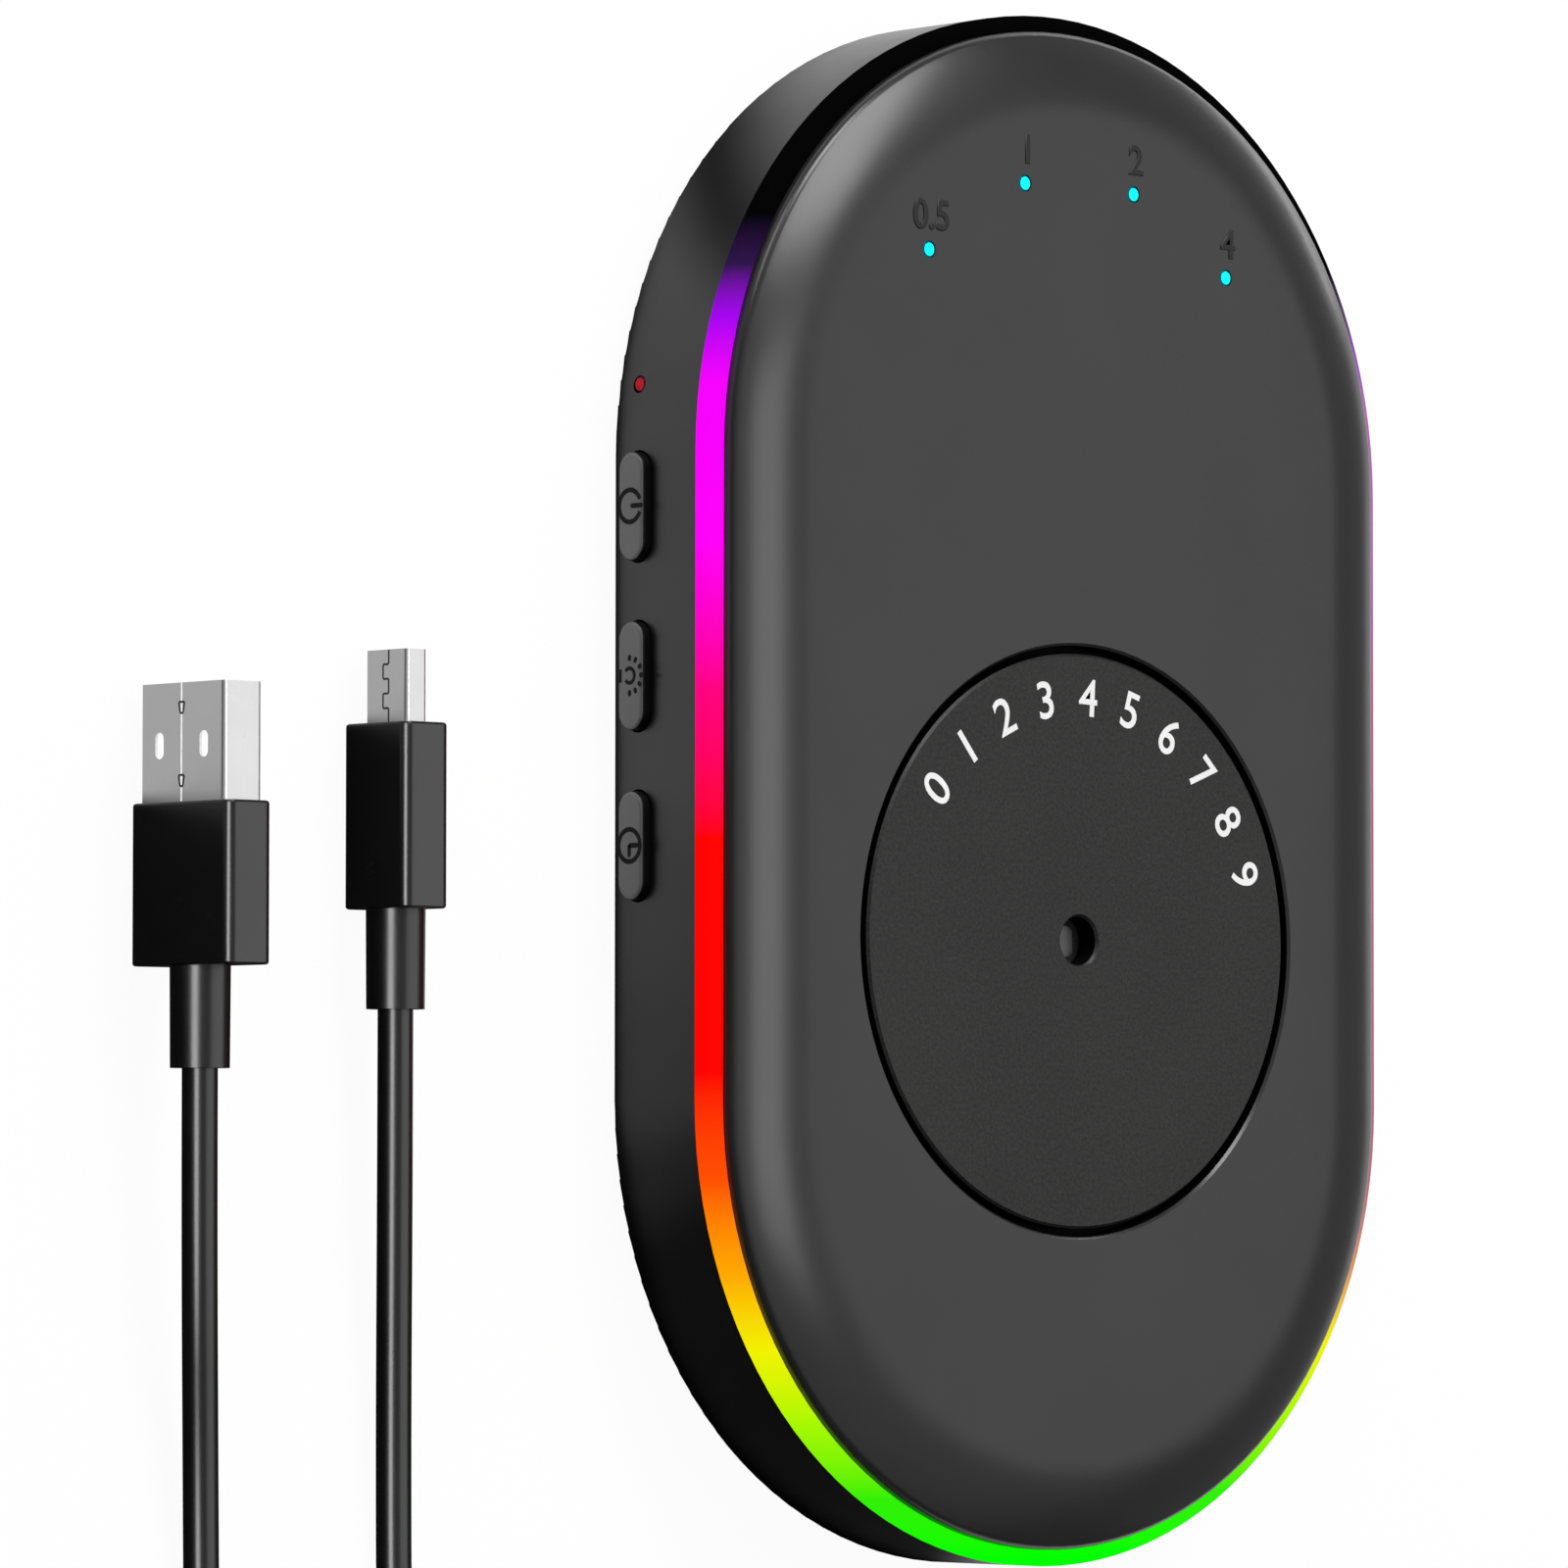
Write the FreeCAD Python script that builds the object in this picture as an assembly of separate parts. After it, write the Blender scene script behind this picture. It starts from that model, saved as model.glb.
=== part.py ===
import FreeCAD, Part
import math
import os

from FreeCAD import Vector

# A desk turntable that keeps a computer mouse awake: an oval case with a turning disc, a light
# band round its rim, three keys in its left wall, and its charging cable beside it.
# Millimetres. +Z is up, +Y runs along the case towards the time lamps, -X is the wall with the keys.
# The origin is on the table under the middle of the case.

# Case
case_length = 150.0
case_width = 89.0
side_height = 11.6
ring_height = 2.3
cover_rise = 3.4
foot_stand_off = 0.8
wall = 2.2
floor_thickness = 1.3
bottom_edge_radius = 0.3
cover_thickness = 2.0
overrun = 1.0
fit_gap = 0.1
press_gap = 0.02

end_radius = case_width / 2
straight_half = (case_length - case_width) / 2
shell_bottom = foot_stand_off
floor_top = shell_bottom + floor_thickness
seam_z = shell_bottom + side_height
ring_top = seam_z + ring_height
cover_top = ring_top + cover_rise
cover_under = cover_top - cover_thickness

# Light ring
ring_straight_height = 1.65
ring_round_width = 1.5
ring_shelf_depth = 0.4
ring_depth = 4.0
ring_tongue_height = 0.7
ring_shelf_z = ring_top - ring_shelf_depth
ring_tongue_z = seam_z - ring_tongue_height

# Cover edge and the skirt inside it
cover_inset = ring_round_width + fit_gap
cover_lip = 0.2
cover_round_width = 8.8
cover_crease_angle = math.radians(4.0)
cover_round_height = cover_rise - cover_lip
cover_rim_width = 2.0
cover_inner_round = 1.2
skirt_gap = 0.1
skirt_thickness = 1.2

# Lamp strip behind the ring
lamp_count = 20
ring_lamp_length = 3.5
ring_lamp_height = 2.0
ring_lamp_depth = 1.1
strip_thickness = 0.3
strip_height = 2.3
strip_gap_length = 4.0
strip_gap_before_bend = 12.5
strip_tail_width = 6.0
strip_top_drop = 0.3
lamp_inset = ring_depth + fit_gap
strip_inset = lamp_inset + ring_lamp_depth
skirt_inset = strip_inset + strip_thickness + skirt_gap
strip_top = ring_shelf_z - strip_top_drop
strip_bottom = strip_top - strip_height

# Turning disc and its well, placed from the case's near end
disc_from_near_end = 60.2
disc_radius = 27.7
disc_gap = 0.8
disc_recess = 0.1
disc_plate = 1.6
disc_rib_height = 0.5
disc_rib_width = 1.2
disc_rib_count = 6
disc_edge_chamfer = 0.25
disc_hub_radius = 4.0
disc_hole_radius = 2.35
disc_hole_depth = 2.5
well_depth = 2.7
well_floor = 1.4
well_wall = 1.6
hub_hole_gap = 0.6
disc_y = disc_from_near_end - case_length / 2
well_radius = disc_radius + disc_gap
disc_top = cover_top - disc_recess
disc_under = disc_top - disc_plate
well_floor_z = cover_top - well_depth
well_under_z = well_floor_z - well_floor

# Gear train: the motor at the far end, two compound gears, and the output gear under the disc
gear_module = 0.5
pressure_angle = math.radians(20.0)
pinion_teeth = 12
idler_teeth = 40
output_teeth = 48
pinion_addendum = 0.5
wheel_addendum = 0.375
gear_root_gap = 0.125
backlash = 0.06
gear_face = 1.8
pinion_overlap = 0.2
gear_layer_gap = 0.6
gear_web_depth = 0.4
gear_rim = 1.2
axle_radius = 0.75
shaft_radius = 1.5
running_gap = 0.05
gear_hub_radius = 1.7
output_hub_radius = 4.0
shaft_tip_depth = 2.15
shaft_flat = 0.4

# Gearbox
gearbox_floor = 1.5
bearing_height = 0.6
bearing_wall = 1.5
gearbox_roof = 1.2
roof_gap = 0.5
post_radius = 2.9
post_gap = 0.6
gearbox_screw_radius = 0.6
gearbox_head_radius = 1.3
gearbox_head_height = 0.9
floor_boss_radius = 2.2
floor_boss_height = 2.7
gearbox_margin = 1.7
bush_wall = 1.5
bush_proud = 0.1

# Motor
motor_radius = 8.0
motor_height = 8.0
motor_edge_radius = 0.8
motor_boss_radius = 2.5
motor_boss_height = 0.4
motor_ear_thickness = 0.6
motor_ear_radius = 2.0
motor_ear_reach = 10.6
motor_seat_thickness = 0.9
motor_shaft_length = 7.4
motor_screw_radius = 0.6
motor_head_radius = 1.2
motor_head_height = 0.7
terminal_size = 1.2
terminal_height = 1.6

gearbox_floor_top = floor_top + gearbox_floor
bearing_top = gearbox_floor_top + bearing_height
level_a = bearing_top + pinion_overlap
level_step = gear_face + gear_layer_gap
level_b = level_a + level_step
level_c = level_b + level_step
roof_z = level_c + gear_face + roof_gap
roof_top = roof_z + gearbox_roof
wheel_pitch_radius = gear_module * idler_teeth / 2
pinion_pitch_radius = gear_module * pinion_teeth / 2
output_pitch_radius = gear_module * output_teeth / 2
wheel_tip_radius = wheel_pitch_radius + wheel_addendum
output_tip_radius = output_pitch_radius + wheel_addendum
idler_b_y = disc_y - output_pitch_radius - pinion_pitch_radius
idler_a_y = idler_b_y - wheel_pitch_radius - pinion_pitch_radius
motor_y = idler_a_y - wheel_pitch_radius - pinion_pitch_radius
motor_seat_z = level_a + gear_face + pinion_overlap + fit_gap
motor_bottom = motor_seat_z + motor_seat_thickness
motor_top = motor_bottom + motor_height

# Keys, their switches and the status lamp, all in the left wall
key_names = ("power", "light", "timer")
key_before_bend = 4.9
key_spacing = 16.025
key_height = 3.5
key_length = 10.3
key_width = 3.5
key_proud = 1.1
key_gap = 0.2
key_edge_radius = 0.4
key_flange_lip = 0.95
key_flange_thickness = 0.8
key_stem_length = 3.0
key_stem_height = 2.4
key_stem_depth = 1.2
plunger_radius = 0.9
plunger_length = 1.9
plunger_hole_depth = 1.4
switch_depth = 3.8
switch_length = 6.0
switch_clear = 1.2
status_past_bend = 6.75
status_height = 3.0
status_hole_radius = 0.85
status_tip_chamfer = 0.22
status_body_radius = 1.15
status_body_length = 1.6
status_lamp_depth = 1.5
status_lamp_length = 2.2
status_lamp_height = 3.6
first_key_y = straight_half - key_before_bend
key_y = {name: first_key_y - i * key_spacing for i, name in enumerate(key_names)}
key_z = shell_bottom + key_height
status_y = straight_half + status_past_bend
status_z = shell_bottom + status_height

# Time lamps on a circle about the middle of the far end's bend
time_lamp_inset = 16.4
time_lamp_shift = 0.3
time_lamp_angles = (45.0, 15.0, -15.0, -45.0)
time_hole_radius = 0.82
time_guide_radius = 1.2
time_guide_tip = 1.4
time_guide_chamfer = 0.2
time_sleeve_wall = 0.8
time_sleeve_drop = 5.0
time_lamp_length = 1.6
time_lamp_width = 0.9
time_lamp_height = 0.8
time_guide_gap = 0.2
time_lamp_circle = end_radius - time_lamp_inset
time_lamp_y = straight_half + time_lamp_shift

# Main board, from beyond the gearbox to the far end, with a leg along the keys
board_z = 6.5
board_thickness = 1.0
board_edge_inset = 3.2
board_start_share = 0.207
board_leg_width = 14.5
board_leg_past_key = 7.05
board_post_radius = 2.6
board_screw_radius = 0.8
board_hole_radius = 1.1
board_head_radius = 1.9
board_head_height = 1.3
board_screw_reach = 3.0
board_post_from_right = 11.5
board_post_from_left = 15.5
board_post_from_edge = 4.0
board_far_post_inset = 7.3
board_far_post_angle = math.radians(67.9)
board_leg_post_from_left = 12.1
board_leg_post_from_end = 2.7
board_top = board_z + board_thickness
chip_size = 7.0
chip_height = 1.4
chip_pins = 6
chip_place_shares = (0.18, 0.372)
pin_length = 0.9
pin_width = 0.35
pin_thickness = 0.15
pin_pitch = 0.9
driver_length = 5.0
driver_width = 4.0
driver_height = 1.5
driver_pins = 4
driver_place_shares = (-0.292, 0.279)
capacitor_radius = 2.0
capacitor_height = 4.6
capacitor_places_shares = ((0.4, 0.2), (0.52, 0.2))
crystal_length = 10.8
crystal_width = 4.2
crystal_height = 3.2
crystal_place_shares = (-0.09, 0.177)
can_chamfer_share = 1 / 6
motor_socket_length = 6.0
motor_socket_width = 4.5
motor_socket_height = 4.2
motor_socket_place_shares = (0.54, 0.065)
motor_socket_wall = 0.6

# Charging socket in the far end wall, sized by the small plug
socket_play = 0.15
socket_length = 9.0
socket_wall = 0.35
socket_recess_margin = 1.1
socket_recess_depth = 0.9
socket_corner = 1.0
socket_tongue_width = 4.4
socket_tongue_height = 0.7
socket_tongue_length = 6.0

# Fasteners and feet
case_screw_inset = 9.4
case_screw_angle = math.radians(28.0)
case_boss_radius = 3.6
case_boss_height = 7.4
case_screw_radius = 1.1
case_screw_length = 10.0
case_head_radius = 2.3
case_head_height = 1.5
case_head_depth = 2.8
cover_boss_radius = 3.0
foot_from_side = 24.5
foot_from_end = 20.0
foot_radius = 6.0
foot_recess = 0.4
foot_edge_chamfer = 0.3
screw_chamfer_share = 1 / 3

# Cable
cord_diameter = 3.3
plug_a_x = -99.3
plug_a_front_y = -4.1
plug_a_width = 5.2
plug_a_height = 14.6
plug_a_length = 14.7
shell_a_width = 4.5
shell_a_height = 12.0
shell_a_length = 10.7
shell_wall = 0.3
shell_seat = 3.0
plug_b_x = -74.4
plug_b_front_y = 4.0
plug_b_width = 5.4
plug_b_height = 9.4
plug_b_length = 17.1
shell_b_width = 2.6
shell_b_height = 5.9
shell_b_length = 6.75
plug_edge_radius = 1.1
plug_end_radius = 0.3
shell_corner = 0.5
relief_length = 9.2
relief_start_radius = 2.76
relief_end_radius = 2.7
slot_length = 2.4
slot_width = 1.2
slot_spacing = 6.4
slot_from_front = 5.6
tongue_gap = 0.1
tongue_a_thickness = 1.85
tongue_b_thickness = 0.85
tongue_setback = 0.8
contact_count = 4
contact_pitch = 2.3
contact_width = 1.0
contact_length = 7.5
contact_thickness = 0.1
coil_x = -83.2
coil_y = -122.0
coil_lift = 0.8
coil_turns = 6.5
coil_min_radius = 13.0
coil_pitch = 4.1
coil_layer_step = 4.1
tie_width = 5.0
tie_thickness = 0.5
tie_gap = 0.3
tie_side_gap = 0.7
tie_turns = 0.75
bend_reach_share = 0.45
coil_check_count = 48
coil_heading_step = 0.01
coil_low_z = coil_lift + cord_diameter / 2
coil_high_z = coil_low_z + coil_layer_step
coil_out_radius = coil_min_radius + coil_pitch * coil_turns / 2
coil_end_y = coil_y + cord_diameter
plug_a_z = plug_a_height / 2
plug_b_z = plug_b_height / 2
cord_a_start_y = plug_a_front_y - plug_a_length - relief_length
cord_b_start_y = plug_b_front_y - plug_b_length - relief_length
socket_width = shell_b_height + 2 * (socket_play + socket_wall)
socket_height = shell_b_width + 2 * (socket_play + socket_wall)

# The motor's two leads, side by side, down to the floor beside the gearbox and up to their plug
lead_radius = 0.5
lead_spacing = 1.3
lead_low_z = 3.4
lead_side_gap = 7.5
lead_turn_from_motor = 25.8
lead_rise_before_board = 10.0
lead_bend_reach = 9.0

# The free stretches of the cord: from each strain relief down to the table and on to the coil
cord_a_route = (
    (plug_a_x, cord_a_start_y, plug_a_z),
    (-99.3, -42.0, 7.3),
    (-94.8, -68.0, 2.0),
    (-94.6, -84.0, 2.0),
    (coil_x - coil_out_radius, -103.0, coil_high_z),
    (coil_x - coil_out_radius, coil_end_y, coil_high_z),
)
cord_b_route = (
    (plug_b_x, cord_b_start_y, plug_b_z),
    (-74.4, -37.0, 4.7),
    (-72.1, -63.0, 1.8),
    (-71.9, -84.0, 1.8),
    (coil_x + coil_out_radius, -104.0, coil_low_z),
    (coil_x + coil_out_radius, coil_end_y, coil_low_z),
)


def disc_solid(x, y, z, radius, height):
    """An upright cylinder."""
    return Part.makeCylinder(radius, height, Vector(x, y, z))


def block(x0, x1, y0, y1, z0, z1):
    """A box between two corners."""
    return Part.makeBox(x1 - x0, y1 - y0, z1 - z0, Vector(x0, y0, z0))


def union(shapes):
    """One shape of overlapping or touching solids."""
    joined = shapes[0].fuse(shapes[1:])
    return joined.removeSplitter()


def group(solids):
    """Separate solids that share one node."""
    return Part.makeCompound(solids)


def line(a, b):
    return Part.LineSegment(a, b).toShape()


def arc(a, middle, b):
    return Part.Arc(a, middle, b).toShape()


def pill_wire(centre, half_length, radius, along, up):
    """An oblong with round ends, in the plane of two unit vectors."""
    near = centre - along * half_length
    far = centre + along * half_length
    return Part.Wire([
        line(near + up * radius, far + up * radius),
        arc(far + up * radius, far + along * radius, far - up * radius),
        line(far - up * radius, near - up * radius),
        arc(near - up * radius, near - along * radius, near + up * radius),
    ])


def oval_plate(inset, z0, z1):
    """An upright slab with the outline of the case, drawn in by the inset."""
    outline = pill_wire(Vector(0, 0, z0), straight_half, end_radius - inset, Vector(0, 1, 0), Vector(1, 0, 0))
    return Part.Face(outline).extrude(Vector(0, 0, z1 - z0))


def oval_turn(profile):
    """A half profile, drawn at x = distance from the middle line, carried right round the case."""
    up = Vector(0, 0, 1)
    far = Vector(0, straight_half, 0)
    section = Part.Face(profile)
    at_far = section.translated(far)
    at_near = section.translated(far * -1)
    far_end = at_far.revolve(far, up, 180)
    near_end = at_near.revolve(far * -1, up, -180)
    right_side = at_near.extrude(far * 2)
    left_side = right_side.mirror(Vector(0, 0, 0), Vector(1, 0, 0))
    return union([far_end, right_side, near_end, left_side])


def section_point(inset, z):
    return Vector(end_radius - inset, 0, z)


def soft_corner(inset, z, width, height, crease=0):
    """Two tangent arcs, upright at width outside (inset, z), and level or creased at height above it."""
    tight = height ** 2 / width
    inside = width - tight
    spare = height * math.cos(crease) - inside * math.sin(crease) - tight
    wide = (inside ** 2 + height ** 2 - tight ** 2) / 2 / spare
    across = Vector(1, 0, 0)
    up = Vector(0, 0, 1)
    to_crease = across * math.sin(crease) + up * math.cos(crease)
    centre = section_point(inset, z)
    tight_centre = centre + across * inside
    wide_centre = centre + up * height - to_crease * wide
    to_joint = (tight_centre - wide_centre).normalize()
    return [
        arc(centre + across * width, tight_centre + (across + to_joint).normalize() * tight,
            tight_centre + to_joint * tight),
        arc(tight_centre + to_joint * tight, wide_centre + (to_joint + to_crease).normalize() * wide,
            centre + up * height),
    ]


def edge_between(a, b):
    return line(section_point(*a), section_point(*b))


def mirrored_places(x, y):
    """A place and its three mirror images about the middle of the case."""
    return [(across, along) for across in (-x, x) for along in (-y, y)]


def round_far_bend(inset, angle):
    """A place on a circle about the middle of the far end's bend, at an angle up from +X."""
    radius = end_radius - inset
    return radius * math.cos(angle), straight_half + radius * math.sin(angle)


def case_screw_places():
    return mirrored_places(*round_far_bend(case_screw_inset, case_screw_angle))


def foot_places():
    return mirrored_places(end_radius - foot_from_side, case_length / 2 - foot_from_end)


def time_lamp_places():
    places = []
    for angle in time_lamp_angles:
        turn = math.radians(angle)
        places.append((-time_lamp_circle * math.sin(turn), time_lamp_y + time_lamp_circle * math.cos(turn)))
    return places


def gearbox_post_places():
    """The three screw posts: beside the two compound gears, and beyond the output gear."""
    side = wheel_tip_radius + post_radius + post_gap / 2
    beyond = disc_y + output_tip_radius + post_radius + post_gap
    near_b = idler_b_y + post_radius
    near_a = idler_a_y - wheel_pitch_radius / 2 - post_radius / 2
    return [(-side, near_b), (side, near_b), (-side, near_a), (side, near_a), (0, beyond)]


def board_low_y():
    """The board's near edge: a share of the way from the gearbox to the board's far end."""
    start = disc_y + output_tip_radius + 2 * post_radius + post_gap
    return start + board_start_share * (case_length / 2 - board_edge_inset - start)


def board_leg_y():
    return key_y["timer"] - board_leg_past_key


def board_post_places():
    near_y = board_low_y() + board_post_from_edge
    far_x, far_y = round_far_bend(board_far_post_inset, board_far_post_angle)
    return [
        (end_radius - board_post_from_right, near_y),
        (board_post_from_left - end_radius, near_y),
        (far_x, far_y),
        (-far_x, far_y),
        (board_leg_post_from_left - end_radius, board_leg_y() + board_leg_post_from_end),
    ]


def on_board(place_shares):
    """A place on the board: a share of the case's half width, and of the board's length."""
    across, along = place_shares
    low = board_low_y()
    return across * end_radius, low + along * (case_length / 2 - board_edge_inset - low)


def wall_x(y, inset=0.0):
    """Where the left wall's face is at a height along the case."""
    radius = end_radius - inset
    past = max(abs(y) - straight_half, 0.0)
    return -math.sqrt(radius ** 2 - past ** 2)


def pill_along_x(x0, x1, y, z, length, height):
    """An oblong with round ends that faces along X."""
    radius = height / 2
    outline = pill_wire(Vector(x0, y, z), length / 2 - radius, radius, Vector(0, 1, 0), Vector(0, 0, 1))
    return Part.Face(outline).extrude(Vector(x1 - x0, 0, 0))


def rounded_bar(x, z, width, height, y0, y1, corner):
    """A bar along Y with rounded long edges, centred on (x, z)."""
    bar = block(x - width / 2, x + width / 2, y0, y1, z - height / 2, z + height / 2)
    return bar.makeFillet(corner, edges_along(bar, Vector(0, 1, 0)))


def edges_along(shape, direction):
    """The straight edges that run along a unit vector, either way."""
    mostly_share = 0.9
    return [e for e in shape.Edges if abs(e.tangentAt(e.FirstParameter).dot(direction)) > mostly_share]


def bottom_shell():
    outer = oval_plate(0, shell_bottom, seam_z)
    bottom_edges = [e for e in outer.Edges if e.BoundBox.ZMax < shell_bottom + fit_gap]
    outer = outer.makeFillet(bottom_edge_radius, bottom_edges)
    shell = outer.cut(oval_plate(wall, floor_top, seam_z + overrun))
    added = []
    removed = []
    for x, y in case_screw_places():
        added.append(disc_solid(x, y, floor_top - overrun, case_boss_radius, case_boss_height + overrun))
        removed.append(disc_solid(x, y, 0, case_head_radius + fit_gap, shell_bottom + case_head_depth))
        removed.append(disc_solid(x, y, 0, case_screw_radius + fit_gap, seam_z))
    for x, y in board_post_places():
        added.append(disc_solid(x, y, floor_top - overrun, board_post_radius, board_z - floor_top + overrun))
        pilot_z = board_z - board_screw_reach - press_gap
        removed.append(disc_solid(x, y, pilot_z, board_screw_radius + press_gap, seam_z - pilot_z))
    for x, y in gearbox_post_places():
        added.append(disc_solid(x, y, floor_top - overrun, floor_boss_radius, floor_boss_height + overrun))
        removed.append(disc_solid(x, y, floor_top, gearbox_screw_radius + press_gap, seam_z))
    for x, y in foot_places():
        removed.append(disc_solid(x, y, 0, foot_radius + press_gap, shell_bottom + foot_recess))
    start = -end_radius - overrun
    end = -end_radius + wall + overrun
    for y in key_y.values():
        slot_length_y = key_length + 2 * key_gap
        slot_height_z = key_width + 2 * key_gap
        removed.append(pill_along_x(start, end, y, key_z, slot_length_y, slot_height_z))
    lamp_reach = status_inside_x() + overrun - start
    lamp_start = Vector(start, status_y, status_z)
    removed.append(Part.makeCylinder(status_hole_radius, lamp_reach, lamp_start, Vector(1, 0, 0)))
    removed.append(socket_cut(fit_gap, wall + overrun))
    removed.append(socket_cut(socket_recess_margin, socket_recess_depth))
    return union([shell] + added).cut(group_cut(removed))


def group_cut(shapes):
    """Cutting tools as one shape."""
    return shapes[0].fuse(shapes[1:])


def socket_cut(margin, depth):
    """An opening in the far end wall, larger than the socket all round and measured in from its face."""
    z = board_top + socket_height / 2
    far = case_length / 2
    width = socket_width + 2 * margin
    height = socket_height + 2 * margin
    return rounded_bar(0, z, width, height, far - depth, far + overrun, socket_corner)


def light_ring():
    shoulder = seam_z + ring_straight_height
    round_height = ring_top - shoulder
    profile = Part.Wire([
        edge_between((0, seam_z), (0, shoulder)),
        *soft_corner(ring_round_width, shoulder, ring_round_width, round_height),
        edge_between((ring_round_width, ring_top), (ring_round_width, ring_shelf_z)),
        edge_between((ring_round_width, ring_shelf_z), (ring_depth, ring_shelf_z)),
        edge_between((ring_depth, ring_shelf_z), (ring_depth, ring_tongue_z)),
        edge_between((ring_depth, ring_tongue_z), (wall + fit_gap, ring_tongue_z)),
        edge_between((wall + fit_gap, ring_tongue_z), (wall + fit_gap, seam_z)),
        edge_between((wall + fit_gap, seam_z), (0, seam_z)),
    ])
    return oval_turn(profile)


def cover_body():
    """The cover's soft-edged skin and its skirt, before anything is cut through it."""
    flat_inset = cover_inset + cover_round_width
    rim_inset = cover_inset + cover_rim_width
    lip_z = ring_top + cover_lip
    inner_z = cover_under - cover_inner_round
    middle = end_radius
    skin = Part.Wire([
        edge_between((cover_inset, ring_shelf_z), (cover_inset, lip_z)),
        *soft_corner(flat_inset, lip_z, cover_round_width, cover_round_height, cover_crease_angle),
        edge_between((flat_inset, cover_top), (middle, cover_top)),
        edge_between((middle, cover_top), (middle, cover_under)),
        edge_between((middle, cover_under), (flat_inset, cover_under)),
        *reversed(soft_corner(flat_inset, inner_z, flat_inset - rim_inset, cover_inner_round)),
        edge_between((rim_inset, inner_z), (rim_inset, ring_shelf_z)),
        edge_between((rim_inset, ring_shelf_z), (cover_inset, ring_shelf_z)),
    ])
    skirt_low = strip_bottom + strip_top_drop
    skirt_high = cover_under + fit_gap
    skirt = oval_plate(skirt_inset, skirt_low, skirt_high)
    skirt = skirt.cut(oval_plate(skirt_inset + skirt_thickness, skirt_low - overrun, skirt_high + overrun))
    return oval_turn(skin).fuse(skirt)


def top_cover():
    well_height = cover_top - well_under_z - cover_lip
    added = [disc_solid(0, disc_y, well_under_z, well_radius + well_wall, well_height)]
    removed = [
        disc_solid(0, disc_y, well_floor_z, well_radius, well_depth + overrun),
        disc_solid(0, disc_y, 0, disc_hub_radius + hub_hole_gap, cover_top),
    ]
    mouth = Part.makeCone(
        well_radius, well_radius + disc_edge_chamfer, disc_edge_chamfer,
        Vector(0, disc_y, cover_top - disc_edge_chamfer))
    removed.append(mouth)
    boss_low = floor_top + case_boss_height + fit_gap
    for x, y in case_screw_places():
        added.append(disc_solid(x, y, boss_low, cover_boss_radius, cover_under - boss_low + fit_gap))
        reach = shell_bottom + case_head_depth + case_screw_length + fit_gap
        removed.append(disc_solid(x, y, 0, case_screw_radius + press_gap, reach))
    for x, y in time_lamp_places():
        sleeve_z = cover_under - time_sleeve_drop
        sleeve_radius = time_guide_radius + time_sleeve_wall
        added.append(disc_solid(x, y, sleeve_z, sleeve_radius, time_sleeve_drop + fit_gap))
        tip_z = cover_top - time_guide_tip
        removed.append(disc_solid(x, y, 0, time_guide_radius + press_gap, tip_z))
        removed.append(disc_solid(x, y, tip_z - fit_gap, time_hole_radius + press_gap, cover_top))
    return union([cover_body()] + added).cut(group_cut(removed))


def point_round_case(distance, inset):
    """The point and heading after walking that far round the inset outline from the right side."""
    radius = end_radius - inset
    side = 2 * straight_half
    bend = math.pi * radius
    distance = distance % (2 * (side + bend))
    half = 1
    if distance >= side + bend:
        distance -= side + bend
        half = -1
    if distance < side:
        return Vector(radius * half, (distance - straight_half) * half, 0), math.pi / 2 * (2 - half)
    turn = (distance - side) / radius
    x = radius * math.cos(turn) * half
    y = (straight_half + radius * math.sin(turn)) * half
    return Vector(x, y, 0), turn + math.pi / 2 * (2 - half)


def lamp_strip():
    band = oval_plate(strip_inset, strip_bottom, strip_top)
    inner = oval_plate(strip_inset + strip_thickness, strip_bottom - overrun, strip_top + overrun)
    band = band.cut(inner)
    low_y = straight_half - strip_gap_before_bend
    gap_y = low_y + strip_gap_length
    x = end_radius - strip_inset
    band = band.cut(block(0, end_radius, low_y, gap_y, strip_bottom - overrun, strip_top + overrun))
    tail = block(x - strip_thickness, x, gap_y, gap_y + strip_tail_width, board_top, strip_bottom + fit_gap)
    return band.fuse(tail).removeSplitter()


def ring_lamps():
    """The coloured lamps on the strip, evenly spaced and facing the ring."""
    inset = strip_inset - ring_lamp_depth / 2
    radius = end_radius - inset
    round_length = 2 * (2 * straight_half + math.pi * radius)
    middle_z = (strip_top + strip_bottom) / 2
    lamps = []
    for i in range(lamp_count):
        place, heading = point_round_case((i + 0.5) * round_length / lamp_count, inset)
        half_length = ring_lamp_length / 2
        half_depth = ring_lamp_depth / 2
        lamp = block(-half_length, half_length, -half_depth, half_depth, 0, ring_lamp_height)
        lamp.rotate(Vector(0, 0, 0), Vector(0, 0, 1), math.degrees(heading))
        lamp.translate(place + Vector(0, 0, middle_z - ring_lamp_height / 2))
        lamps.append(lamp)
    return group(lamps)


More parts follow.
